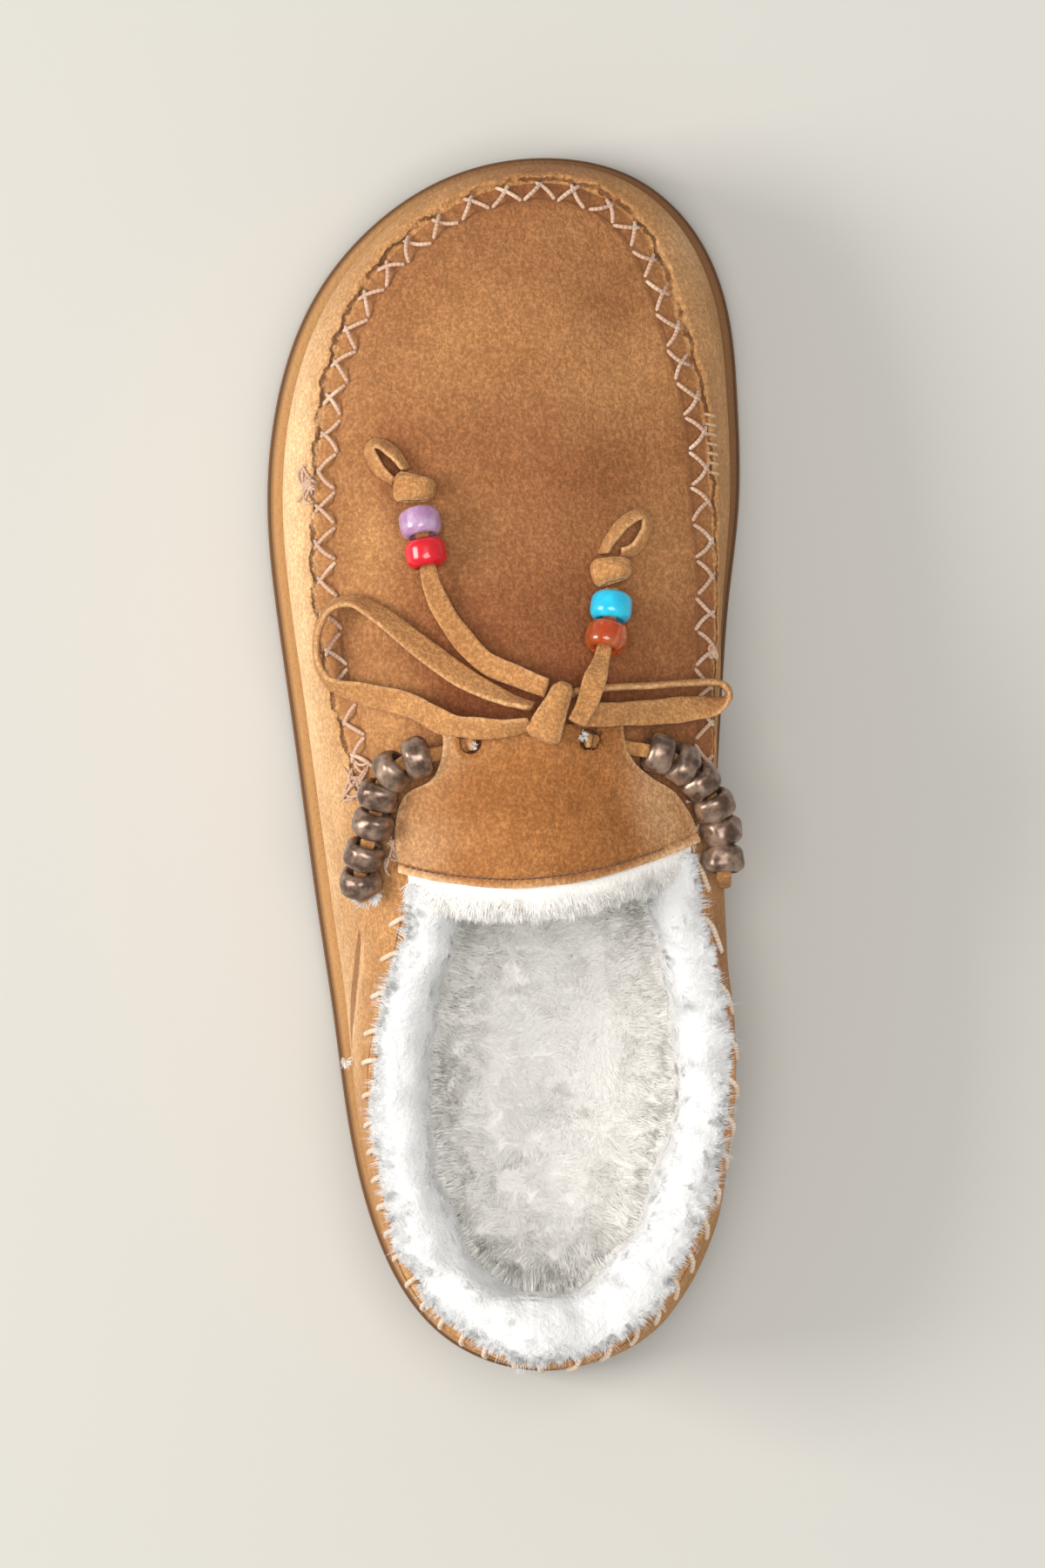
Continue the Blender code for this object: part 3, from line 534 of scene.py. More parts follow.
def smoothSkin():
    # the plain wall and the plug, carried on past the throat, to lay things on
    around, up, long, across = 280, 30, 101, 41
    wall = wallPoint(ringRows(around)[None], np.degrees(np.arcsin(np.linspace(0, 1, up)))[:, None])
    plug = plugPoint(np.linspace(0, throatRow + 1, long)[:, None], np.linspace(-1, 1, across)[None])
    points, faces = joinParts([gridPart(wall, True), gridPart(plug)])
    return surfaceTree(points, np.concatenate(faces))


skin = smoothSkin()


def skinHeight(x, y, tree=None):
    # straight down onto the surface, moved towards the middle until it is hit, 60 tries at most
    for _ in range(60):
        hit = (tree or skin).ray_cast(Vector((x, y, 0.2)), Vector((0, 0, -1)))[0]
        if hit:
            return hit.z
        x *= 0.98
    return 0.0


def restHeight(x, y, above):
    # the lowest height that is clear of the surface by above
    z = skinHeight(x, y) + above
    for _ in range(12):
        z += max(0.0, above - skin.find_nearest(Vector((x, y, z)))[3])
    return z


print("last worked out")

tan = (0.60, 0.318, 0.130)
# pale tan: a paler tone, and the painted highlight down the outer wall and on lips
paleTanAndHighlight = (1.0, 0.69, 0.395)
# painted shade: the seam's dark line, and the shade on the flap, laces and knots
paintedShadeBrown = (0.17, 0.065, 0.026)
threadPink = (0.63, 0.405, 0.285)


def suede(name, light, dark, darkToneAndShade, deep=0.22):
    # brushed nap: patches, the painted tone towards pale tan (in places a painted highlight) or towards a darker tone
    # and painted shade, then streaks and specks that multiply the colour, and a fuzzy grain in the bump
    f = Finish(name, Roughness=0.95, Sheen_Weight=0.12, Sheen_Roughness=0.5, Sheen_Tint=(1.0, 0.8, 0.6, 1),
               Specular_IOR_Level=0.1)
    patches = f.noise(26 * mm, 3, 0.55).ramp(0.36, 0.68)
    clouds = f.noise(7 * mm, 3, 0.6).ramp(0.3, 0.72)
    specks = f.noise(0.75 * mm, 3, 0.7).ramp(0.36, 0.66)
    nap = f.noise(1.0 * mm, 3, 0.6, f.stretched((1.0, 0.45, 1.0), 0.5)).ramp(0.3, 0.7)
    tone = f.attribute("tone")
    colour = f.mix(patches * 0.6, light, dark)
    colour = f.mix(tone.ramp(0.0, 1.0), colour, paleTanAndHighlight)
    colour = f.mix(tone.ramp(0.0, -1.0), colour, darkToneAndShade)
    colour = f.mix(clouds * 0.45, colour, (0.78, 0.72, 0.66), "MULTIPLY")
    colour = f.mix(specks * 0.75, colour, (0.60, 0.52, 0.46), "MULTIPLY")
    colour = f.mix(nap * 0.45, colour, (1.62, 1.60, 1.56), "MULTIPLY")
    return f, colour, f.bump(specks * 0.6 + nap * 0.5, deep * mm)


def upperFinish():
    # suede; the seam's broken scalloped line and its soft inner step, painted shade in its groove and at the step,
    # over a darker, redder band that is partly painted shade, from the seam's own distances; and a slit on the outer
    # quarter, painted dark as the
    # shade inside it: an almond 1.3 * (1 - u^2) + 0.3 mm each side of its line, with a paler lip as a painted
    # highlight
    f, colour, bump = suede("suede", tan, (0.465, 0.223, 0.083), (0.245, 0.083, 0.034))
    across = f.attribute("seamAcross")
    along = f.attribute("seamAlong")
    wobble = f.noise(2.2 * mm, 2, 0.6) - 0.5
    arches = abs((along * (np.pi / 7.6)).sine())
    edge = across + 2.2 + arches * 0.7 + wobble * 2.2
    # painted shade along the seam's groove
    line = abs(edge).ramp(0.60, 0.10) * f.noise(4.5 * mm, 3, 0.6).ramp(0.33, 0.54)
    # painted shade at the foot of the step up to the plug
    inner = abs(across - 2.4 + wobble * 1.4).ramp(1.3, 0.1) * f.noise(7 * mm, 2, 0.6).ramp(0.25, 0.6)
    # a redder band over the sunken seam, partly painted shade
    band = across.ramp(-2.6, -1.8) * across.ramp(2.9, 1.6)
    colour = f.mix(band * 0.20, colour, (0.42, 0.19, 0.075))
    colour = f.mix(inner * 0.42, colour, (0.34, 0.135, 0.045))
    colour = f.mix(line * 0.9, colour, paintedShadeBrown)
    u = f.attribute("slitAlong")
    off = f.attribute("slitAcross") + wobble * 0.5
    half = (1 - u * u) * 1.3 + 0.3
    # the slit: painted shade inside it
    slit = (abs(off) - half).ramp(0.75, -0.25) * abs(u).ramp(1.06, 0.96)
    # its lip: painted highlight
    edge = abs(off - half - 1.6).ramp(1.3, 0.2) * abs(u).ramp(1.0, 0.8)
    colour = f.mix(edge * 0.30, colour, paleTanAndHighlight)
    colour = f.mix(slit * 0.72, colour, (0.27, 0.105, 0.036))
    bump = f.bump(1 - slit, 0.6 * mm, f.bump(1 - line, 0.5 * mm, bump))
    return f.paint(Base_Color=colour, Normal=bump)


def plainSuede(name, light, dark):
    # suede whose darker tone, mostly painted shade, takes the painted shade brown
    f, colour, bump = suede(name, light, dark, paintedShadeBrown)
    return f.paint(Base_Color=colour, Normal=bump)


def rubberFinish():
    # moulded brown rubber with a fine pebble on its side and wavy tread underneath
    f = Finish("sole rubber", Roughness=0.8, Specular_IOR_Level=0.3)
    pebble = f.noise(0.9 * mm, 2, 0.5).ramp(0.35, 0.65)
    dust = f.noise(14 * mm, 4, 0.6).ramp(0.35, 0.75)
    tone = f.attribute("tone")
    colour = f.mix(dust * 0.5, (0.22, 0.10, 0.039), (0.29, 0.145, 0.061))
    # tone above 0: the paler rim, painted light; below 0: painted shade
    colour = f.mix(tone.ramp(0.0, 1.0), colour, (0.53, 0.30, 0.12))
    colour = f.mix(tone.ramp(0.0, -1.0), colour, (0.09, 0.045, 0.02))
    tread = f.attribute("tread")
    bump = f.bump(tread, 1.0 * mm, f.bump(pebble, 0.12 * mm))
    return f.paint(Base_Color=colour, Roughness=0.72 + dust * 0.2, Normal=bump)


def fleeceFinish(name, tip, root):
    # wool: paler to the tips and darker to the roots as painted shade among the hairs, with slow changes of tone from
    # lock to lock
    f = Finish(name, Roughness=0.9, Sheen_Weight=0.4, Sheen_Roughness=0.5, Specular_IOR_Level=0.15)
    height = f.attribute("tone")
    locks = f.noise(5 * mm, 3, 0.6).ramp(0.3, 0.7)
    colour = f.mix(height.ramp(0.0, 1.0), root, tip)
    colour = f.mix(locks * 0.25, colour, [0.94 * c for c in root])
    return f.paint(Base_Color=colour, Normal=f.bump(f.noise(1.1 * mm, 4, 0.6), 0.5 * mm))


def threadFinish(name, light, dark, glint):
    # two-ply twist as bands across the thread's own length, the dark bands painted shade between the plies, and paler
    # painted glints
    f = Finish(name, Roughness=0.75, Sheen_Weight=0.3)
    twist = (f.attribute("twist") * (2 * np.pi / 0.9)).sine() * 0.5 + 0.5
    colour = f.mix(twist * 0.55, light, dark)
    colour = f.mix(f.noise(4 * mm, 2, 0.5).ramp(0.45, 0.7) * 0.5, colour, glint)
    return f.paint(Base_Color=colour, Normal=f.bump(twist, 0.12 * mm))


def beadFinish(name, colour, spread, rough, metal=0.0, clear=0.0, coat=0.5):
    # glossy, streaked from colour to spread, the streaks partly painted highlight (most on the bronze) and partly a
    # change of colour; clear: how much light goes through
    f = Finish(name, Metallic=metal, Transmission_Weight=clear, Coat_Weight=coat, Coat_Roughness=0.08)
    streakAndHighlight = f.noise(3 * mm, 3, 0.6).ramp(0.35, 0.7)
    mixed = f.mix(streakAndHighlight, colour, spread)
    return f.paint(Base_Color=mixed, Roughness=rough + streakAndHighlight * 0.1)


# each finish with the record's material that it belongs to
finishes = {
    "upper": (upperFinish(), "suede"),
    "flap": (plainSuede("flap suede", (0.43, 0.186, 0.062), (0.305, 0.114, 0.033)), "suede_brown"),
    "lace": (plainSuede("lace suede", (0.59, 0.303, 0.119), (0.465, 0.219, 0.079)), "suede_lace"),
    "rubber": (rubberFinish(), "sole_rubber"),
    # two copies of one fleece: the collar's set darker where the lamps fall full on it, the footbed one brighter as
    # painted light against the shade in the footbed, the collar's inside, the cove and the throat roll
    "fleece": (fleeceFinish("fleece", (0.81, 0.808, 0.806), (0.78, 0.777, 0.773)), "fleece"),
    "footbed": (fleeceFinish("fleece brightened in shade", (0.985, 0.965, 0.93), (0.95, 0.93, 0.89)), "fleece"),
    "bronze": (beadFinish("bronze bead", (0.115, 0.066, 0.045), (0.40, 0.275, 0.20), 0.28, metal=0.55, coat=0.25),
               "bead_bronze"),
    "red": (beadFinish("red bead", (0.72, 0.008, 0.022), (0.62, 0.005, 0.016), 0.18), "bead_red"),
    "lilac": (beadFinish("lilac bead", (0.52, 0.26, 0.50), (0.70, 0.52, 0.72), 0.22, clear=0.25), "bead_lilac"),
    "amber": (beadFinish("amber bead", (0.92, 0.16, 0.02), (0.90, 0.30, 0.10), 0.12, clear=0.75), "bead_amber"),
    "turquoise": (beadFinish("turquoise bead", (0.012, 0.47, 0.72), (0.02, 0.58, 0.80), 0.2), "bead_turquoise"),
}
for name, colours in {
    "thread": (threadPink, (0.50, 0.27, 0.14), (0.84, 0.66, 0.50)),
    "whip thread": ((0.80, 0.61, 0.44), (0.58, 0.38, 0.24), (0.88, 0.76, 0.62)),
    "tack thread": ((0.60, 0.38, 0.21), (0.42, 0.24, 0.12), (0.68, 0.46, 0.28)),
    "row thread": ((0.12, 0.055, 0.03), (0.07, 0.03, 0.015), (0.20, 0.10, 0.05)),
}.items():
    finishes[name] = (threadFinish(name, *colours), "suede_lace")
print("finishes mixed")

laceSizes = {
    "width": 5.2 * mm, "tail": 4.4 * mm, "inBead": 3.0 * mm, "thick": 1.5 * mm, "around": 20, "step": 0.7 * mm,
}

# x, y, height over the suede, tilt (0 flat, 90 on edge), in mm and degrees
laceRoutes = {
    "lace_run_left": (
        (-6.3, 4.4, 4.5, 0), (-6.9, 4.3, 2.2, 0), (-9.0, 3.4, 1.6, 0), (-12.6, 2.3, 1.7, 0),
        (-17.8, 1.2, 4.6, 0), (-22.2, -1.0, 4.8, 0), (-25.2, -5.4, 4.8, 0), (-26.4, -11.4, 4.8, 0),
        (-28.0, -17.0, 4.8, 0), (-29.2, -21.6, 4.9, 0), (-29.3, -25.2, 4.6, 0), (-28.9, -27.6, 2.2, 0),
    ),
    "lace_run_right": (
        (17.4, 4.9, 4.5, 0), (18.0, 4.8, 2.2, 0), (20.4, 4.2, 1.7, 0), (25.6, 3.4, 1.85, 0),
        (31.2, 2.4, 4.8, 0), (35.6, 0.6, 4.8, 0), (39.8, -2.8, 4.8, 0), (43.0, -7.6, 4.8, 0),
        (44.8, -13.2, 4.8, 0), (45.2, -18.4, 4.9, 0), (45.4, -22.4, 4.9, 0), (45.6, -24.8, 2.6, 0),
    ),
    "bow_loop_left": (
        (5.4, 8.2, 8.0, 60), (-1.0, 7.3, 7.4, 35), (-11.0, 8.2, 6.6, 20), (-19.2, 12.2, 4.4, 20),
        (-29.0, 14.6, 3.6, 35), (-35.4, 16.6, 4.4, 70), (-38.2, 21.2, 5.4, 85), (-38.2, 27.2, 5.4, 85),
        (-35.8, 32.0, 5.0, 80), (-31.0, 33.6, 4.4, 65), (-25.0, 30.4, 3.8, 45), (-17.6, 24.6, 3.4, 30),
        (-8.0, 17.6, 3.8, 30), (0.4, 13.4, 5.8, 55), (5.8, 11.8, 7.6, 75),
    ),
    "bow_loop_right": (
        (15.2, 9.8, 6.8, 10), (22.0, 10.2, 6.4, 8), (30.0, 10.6, 4.6, 8), (38.0, 11.4, 4.6, 15),
        (43.6, 12.2, 5.6, 45), (46.4, 14.2, 7.0, 88), (44.6, 16.6, 6.0, 88), (38.0, 16.6, 4.4, 88),
        (30.0, 16.0, 3.6, 88), (22.0, 15.6, 3.6, 88), (14.4, 14.6, 4.4, 80),
    ),
    "lace_tail_left": (
        (9.0, 15.6, 5.6, 30), (3.0, 18.0, 3.6, 20), (-4.2, 21.4, 2.2, 10), (-11.0, 29.4, 2.2, 5),
        (-14.6, 36.8, 3.6, 0), (-15.8, 43.1, 4.8, 0), (-17.0, 49.4, 4.8, 0), (-17.6, 52.8, 4.4, 0),
    ),
    "lace_tail_right": (
        (15.0, 8.4, 10.0, 15), (17.2, 12.4, 9.6, 15), (18.8, 17.4, 9.0, 10), (20.2, 21.6, 6.0, 5),
        (21.2, 26.2, 4.9, 0), (22.2, 32.4, 4.8, 0), (22.4, 36.0, 4.4, 0),
    ),
    "tail_end_left": (
        (-22.4, 58.2, 2.2, 75), (-24.0, 59.4, 2.2, 65), (-26.0, 61.4, 2.4, 58), (-27.6, 65.0, 2.4, 66),
        (-25.6, 66.2, 2.4, 66), (-22.6, 64.2, 2.2, 56), (-20.0, 60.8, 2.2, 66),
    ),
    "tail_end_right": (
        (20.6, 43.4, 2.2, 66), (22.2, 46.4, 2.2, 56), (25.2, 50.0, 2.4, 56), (28.8, 51.6, 2.4, 68),
        (29.6, 48.6, 2.4, 66), (27.4, 44.6, 2.4, 54), (24.2, 43.4, 2.2, 60),
    ),
}


def smoothRoute(route, step):
    # even points with their tilts on a smooth line through the route, laid on the suede
    rows = [(x * mm, y * mm, restHeight(x * mm, y * mm, above * mm), tilt) for x, y, above, tilt in route]
    fine = openSpline(np.array(rows), np.linspace(0, len(rows) - 1, 40 * len(rows)))
    along = runAlong(fine[:, :3])
    at = np.linspace(0, along[-1], max(3, round(along[-1] / step)) + 1)
    return lookUp(at, along, fine), at


def capped(grid):
    # a tube with each end's first and last ring drawn to its middle
    caps = [np.broadcast_to(grid[k].mean(axis=0), grid[:1].shape) for k in (0, -1)]
    return np.concatenate([caps[0], grid, caps[1]])


def sweepLace(points, tilts, widths, thick, curl=0.0, seed=1):
    # a flat section with round edges, bent by curl, carried along the points and closed at its ends:
    # across = cos(a)^0.5 * width / 2, up = sin(a)^0.8 * thick / 2 + curl * across squared;
    # its tone pales the edges
    ahead = unit(np.gradient(points, axis=0))
    level = unit(np.cross(ahead, straightUp))
    up = np.cross(level, ahead)
    turn = np.radians(tilts)[:, None]
    side = level * np.cos(turn) + up * np.sin(turn)
    over = np.cross(side, ahead)
    angle = roundAngles(laceSizes["around"])
    flat, high = rounded(np.cos(angle), 0.5), rounded(np.sin(angle), 0.8)
    widths = np.broadcast_to(widths, len(points))[:, None]
    wear = ripple(points, 9 * mm, seed)[:, None] * 0.05 + 1
    across = flat * widths / 2 * wear
    height = high * thick / 2 + curl * (flat**2 - 0.5) * widths / 2
    grid = points[:, None] + across[..., None] * side[:, None] + height[..., None] * over[:, None]
    grid += ripple(grid, 2.2 * mm, seed + 1)[..., None] * over[:, None] * 0.06 * mm
    grid = capped(grid)
    tone = np.broadcast_to(np.abs(flat) ** 6 * 0.55 - 0.15, grid.shape[:2])
    return grid, gridFaces(grid, True), tone


def addLace(name, widths, thick=laceSizes["thick"], curl=0.0, seed=1):
    # the flat section along a route; widths are spread evenly over its length
    points, at = smoothRoute(laceRoutes[name], laceSizes["step"])
    width = np.interp(at / at[-1], np.linspace(0, 1, len(widths)), widths)
    grid, faces, tone = sweepLace(points[:, :3], points[:, 3], width, thick, curl, seed)
    piece = addPiece(name + "_suede", grid, faces, "lace", (name,), 1e-6, {"tone": tone}, True)
    return piece, points[:, :3], at[-1]


flatWidths = [laceSizes["width"] / mm] * 4
beadWidths = [laceSizes["inBead"] / mm] * 2
# width from one end to the other, in mm, and what else differs
laces = {
    "bow_loop_left": ((4.2, *flatWidths, 4.0), {"curl": 0.10, "seed": 3}),
    "bow_loop_right": ((4.6, *flatWidths, 4.0), {"curl": 0.08, "seed": 5}),
    "lace_tail_left": ((4.4, 4.6, 4.8, 4.6, 4.0, 2.8, 2.8), {"curl": 0.12, "seed": 7}),
    "lace_tail_right": ((3.6, 4.4, 4.6, 3.6, 2.8, 2.8, 2.8), {"curl": 0.25, "seed": 9}),
    "tail_end_left": ((3.2, 4.2, 4.4, 4.2, 3.2), {"thick": 1.3 * mm, "seed": 11}),
    "tail_end_right": ((3.2, 4.0, 4.2, 4.0, 3.2), {"thick": 1.3 * mm, "seed": 13}),
    "lace_run_left": (beadWidths, {"seed": 15}),
    "lace_run_right": (beadWidths, {"seed": 17}),
}
laid = {name: addLace(name, [width * mm for width in widths], **more) for name, (widths, more) in laces.items()}
print("laces laid")

knotShape = {"along": 48, "around": 24, "coreSteps": 13}
# x, y and height of its middle; length, width and height of the wrap; its turn from +X; how far it is
# pulled to a point
knots = {
    "bow_knot": (10.3, 10.8, 8.0, (12.0, 5.6, 4.6), 66, 0.25),
    "tail_knot_left": (-18.2, 56.8, 3.3, (7.6, 5.4, 4.2), -6, 0.12),
    "tail_knot_right": (22.2, 39.8, 3.3, (7.2, 5.0, 4.2), 12, 0.1),
}


def addKnot(name):
    # two wraps of lace over a core, tilted with the suede below: each wrap is a flat section, cos^0.5 across
    # and sin^0.8 thick with its edges bent in, carried round an oval; the core is an ellipsoid that fills it, painted
    # dark as the shade between the wraps
    x, y, above, (long, wide, high), turn, pull = knots[name]
    lift = [skinHeight(x * mm, y * mm + s) for s in (3 * mm, -3 * mm)]
    slope = np.arctan2(lift[0] - lift[1], 6 * mm)
    turn = np.radians(turn)
    axisLong = np.array([np.cos(turn), np.sin(turn) * np.cos(slope), np.sin(turn) * np.sin(slope)])
    up = unit(np.array([0, -np.sin(slope), np.cos(slope)]))
    axisWide = np.cross(up, axisLong)
    middle = np.array([x * mm, y * mm, sum(lift) / 2 + above * mm])
    angle, around = roundAngles(knotShape["along"]), roundAngles(knotShape["around"])
    edgeTone = np.abs(rounded(np.cos(around), 0.5)) ** 6 * 0.7 - 0.1
    parts, tones = [], []
    for number, (skew, size, shift) in enumerate(((0.0, 1.0, 0.0), (0.5, 0.86, 0.12))):
        reach = rounded(np.cos(angle), 0.75) * long / 2 * size
        rise = rounded(np.sin(angle), 0.75) * high / 2 * size
        pinch = 1 - pull * (reach / (long / 2)) * 1.4
        sideways = shift + skew * reach[:, None] * 0.25
        centre = reach[:, None] * axisLong + rise[:, None] * up + sideways * axisWide
        outwards = unit(np.cos(angle)[:, None] * axisLong / long + np.sin(angle)[:, None] * up / high)
        across = rounded(np.cos(around), 0.5) * wide / 2 * size * pinch[:, None]
        thick = rounded(np.sin(around), 0.8) * 0.62 - 0.9 * np.cos(around) ** 2
        band = centre[:, None] + across[..., None] * axisWide + thick[None, :, None] * outwards[:, None]
        band = middle + band * mm
        band += ripple(band, 4 * mm, 30 + number)[..., None] * up * 0.3 * mm
        parts.append(gridPart(band, True, True))
        tones.append(np.tile(edgeTone, len(angle)))
    ball = np.linspace(0, np.pi, knotShape["coreSteps"])[:, None]
    core = np.stack([
        np.sin(ball) * np.cos(around) * long * 0.42,
        np.sin(ball) * np.sin(around) * wide * 0.46,
        np.cos(ball) * high * 0.46 + 0 * around], axis=-1)
    core = middle + (core[..., :1] * axisLong + core[..., 1:2] * axisWide + core[..., 2:] * up) * mm
    parts.append(gridPart(core, True))
    # the core's dark tone: painted shade between the wraps
    tones.append(np.full(core.size // 3, -0.6))
    points, faces = joinParts(parts)
    return addPiece(name + "_suede", points, faces, "lace", (name,), 1e-6, {"tone": np.concatenate(tones)})


bowKnot, knotLeft, knotRight = (addKnot(name) for name in knots)
print("knots tied")

beadSizes = {"radius": 4.3 * mm, "bore": 2.1 * mm, "half": 2.85 * mm, "tailHalf": 3.0 * mm, "steps": 17, "around": 48}
# side, the first bead's distance along its run, from bead to bead, bare lace after the fourth, in mm; seed
beadRuns = (("left", 14.3, 6.15, 0.8, 7), ("right", 17.3, 5.85, 0.0, 20))


def alongPath(route, distance):
    # the place at a distance along a route, and the way it runs there
    points, at = smoothRoute(route, 0.5 * mm)
    here, after, before = lookUp(distance + np.array([0, 2 * mm, -2 * mm]), at, points[:, :3])
    return here, unit(after - before)


def addBead(name, place, axis, half, finish, lumps=0.0, seed=1):
    # a barrel turned round its axis: radius = r * (1 - (z / half)^4 * 0.3), with a round lip into the bore
    t = np.linspace(-1, 1, beadSizes["steps"])
    outer = np.stack([beadSizes["radius"] * (1 - np.abs(t) ** 4 * 0.30), t * half * 0.98], axis=-1)
    inner = np.stack([beadSizes["bore"] * (1 + np.abs(t) ** 6 * 0.18), t * half * 0.9], axis=-1)[::-1]
    profile = np.concatenate([outer, inner])
    angle = roundAngles(beadSizes["around"])
    side = unit(np.cross(axis, [0.13, 0.21, 0.97]))
    third = np.cross(axis, side)
    spin = np.cos(angle)[:, None] * side + np.sin(angle)[:, None] * third
    grid = place + profile[:, None, :1] * spin[None] + profile[:, None, 1:] * axis
    outside = (np.arange(len(profile)) < len(outer))[:, None, None]
    grid += (ripple(grid, 5 * mm, seed) * lumps)[..., None] * spin[None] * outside
    return addPiece(name + "_turned", grid, gridFaces(grid, True, True), finish, (name,))


def bronzeBeads():
    # six on each run, some lace showing after the outer side's fourth
    for side, start, pitch, bare, seed in beadRuns:
        for number in range(6):
            distance = (start + number * pitch + (bare if number > 3 else 0)) * mm
            place, axis = alongPath(laceRoutes["lace_run_" + side], distance)
            name = f"bead_bronze_{side}_{number + 1}"
            addBead(name, place, axis, beadSizes["half"], "bronze", 0.22 * mm, number + seed)


def tailBead(colour, route, number):
    # a bead on a tail, where the route passes its point of that number
    points, at = smoothRoute(laceRoutes[route], 0.5 * mm)
    x, y = laceRoutes[route][number][:2]
    spot = int(np.hypot(points[:, 0] - x * mm, points[:, 1] - y * mm).argmin())
    place, axis = alongPath(laceRoutes[route], at[spot])
    return addBead("bead_" + colour, place, axis, beadSizes["tailHalf"], colour)


bronzeBeads()
beadRed = tailBead("red", "lace_tail_left", 5)
beadLilac = tailBead("lilac", "lace_tail_left", 6)
beadAmber = tailBead("amber", "lace_tail_right", 4)
beadTurquoise = tailBead("turquoise", "lace_tail_right", 5)
print("beads strung")
soleShape = {"columns": 560, "across": 22, "tread": 5.2 * mm}
# set in, share of the height, tone, from the foot of its side to the top; tone below 0 is painted shade, deepest in
# the groove, and tone above 0 a paler top rim, painted light
soleProfile = (
    (4.0, 0.0, 0.0), (1.8, 0.0, 0.0), (0.9, 0.03, -0.1), (0.35, 0.10, 0.0), (0.05, 0.19, 0.1), (0.0, 0.30, 0.0),
    (0.0, 0.46, -0.2), (0.08, 0.50, -0.3), (0.3, 0.53, -0.5), (0.8, 0.555, -0.9), (0.85, 0.58, -0.8),
    (0.8, 0.62, 0.0), (0.8, 0.80, 0.0), (0.8, 0.90, 0.0), (0.95, 0.95, 0.1), (1.3, 0.985, 0.4), (1.8, 1.0, 0.8),
    (6.5, 1.0, 0.7),
)


def addSole():
    # the side is the profile set in square to the outline; top and foot are chords across it, the foot with
    # a wavy tread; the rim's top is paler, most on its outer (left) side, as painted light from the lamp on the left,
    # and the side darker into its groove as painted shade
    rows = ringRows(soleShape["columns"])
    profile = np.array(soleProfile)
    flat = ring(rows)[0][None] + inward(rows)[None] * profile[:, None, :1] * mm
    y = flat[..., 1]
    z = underside(y) + (soleTop(y) - underside(y)) * profile[:, None, 1]
    side = np.concatenate([flat, z[..., None]], axis=-1)
    across = np.linspace(-1, 1, soleShape["across"] + 1)[:, None]
    half = np.linspace(0, rowCount / 2, soleShape["columns"] // 2 + 1)[None, :]
    sheets = []
    for number, height in ((0, underside), (-1, soleTop)):
        left, right = (ring(h)[0] + inward(h) * (profile[number, 0] * mm) for h in (half, rowCount - half))
        spread = chord(left, right, across[..., None])
        sheets.append(np.concatenate([spread, height(spread[..., 1])[..., None]], axis=-1))
    foot, top = sheets
    points, faces = joinParts([gridPart(side, True), gridPart(foot), gridPart(top, over=True)])
    # painted light: paler towards the left, where the lamp on the left falls
    paleWhereLitFromLeft = lambda grid: 0.25 + 0.75 * smoothStep(-grid[..., 0], -10 * mm, 35 * mm)
    tone = profile[:, None, 2]
    tones = [tone * np.where(tone > 0, paleWhereLitFromLeft(side), 1), np.zeros(foot.shape[:2]), 0.7 * paleWhereLitFromLeft(top)]
    wave = foot[..., 1] + 1.1 * mm * np.sin(foot[..., 0] * 2 * np.pi / (9 * mm))
    ribs = smoothStep(np.sin(wave * 2 * np.pi / soleShape["tread"]), -0.3, 0.3) * (1 - np.abs(across) ** 8)
    tread = [np.zeros(side.shape[:2]), ribs, np.zeros(top.shape[:2])]
    values = {key: np.concatenate([t.ravel() for t in parts]) for key, parts in (("tone", tones), ("tread", tread))}
    addPiece("outsole_moulded", points, faces, "rubber", ("outsole",), 2e-5, values, True)


addSole()
print("sole moulded")

upperShape = {
    "columns": 784, "near": 22, "far": 30, "nearReach": 6.5 * mm, "plugMiddle": 46,  # the grid
    "footDrop": 0.8 * mm, "footIn": 1.6 * mm, "pitch": 7.6 * mm, "inset": 1.7 * mm, "plugTone": -0.60,
}
seamFinishes = throatRow - 0.4  # the row where its relief has faded out
plugUnder = np.array([[0, 0.4, -1.6], [0, 2.0, -2.2], [0, 5.0, -2.4]]) * mm

# soft troughs (depth > 0) and ridges (depth < 0): x1, y1, x2, y2, width, depth, in mm
creases = (
    (-29.6, -34.5, -32.2, -60.0, 2.2, -0.4),
    (-43.5, 72.0, -41.0, 40.0, 3.0, 0.55),
    (-45.5, 60.0, -42.8, 22.0, 2.4, -0.35),
    (-40.0, 18.0, -34.5, -4.0, 2.6, 0.6),
    (-38.0, -12.0, -34.0, -30.0, 2.4, 0.5),
    (44.6, 84.0, 46.2, 56.0, 2.0, 0.5),
    (46.2, 52.0, 45.4, 22.0, 1.8, 0.45),
    (43.4, 96.0, 45.4, 80.0, 1.6, -0.3),
    (-30.5, 60.0, -24.0, 66.0, 3.0, 0.5),
    (-34.0, 44.0, -27.5, 52.0, 2.6, 0.35),
    (31.0, 26.0, 34.0, 16.0, 3.0, 0.4),
    (-20.0, 96.0, -6.0, 101.0, 6.0, 0.25),
    (14.0, 92.0, 28.0, 84.0, 7.0, 0.15),
    (-12.0, 50.0, 10.0, 44.0, 7.0, 0.3),
    (8.0, 66.0, 24.0, 60.0, 6.0, -0.18),
    (-26.0, 30.0, -14.0, 34.0, 4.0, 0.4),
)

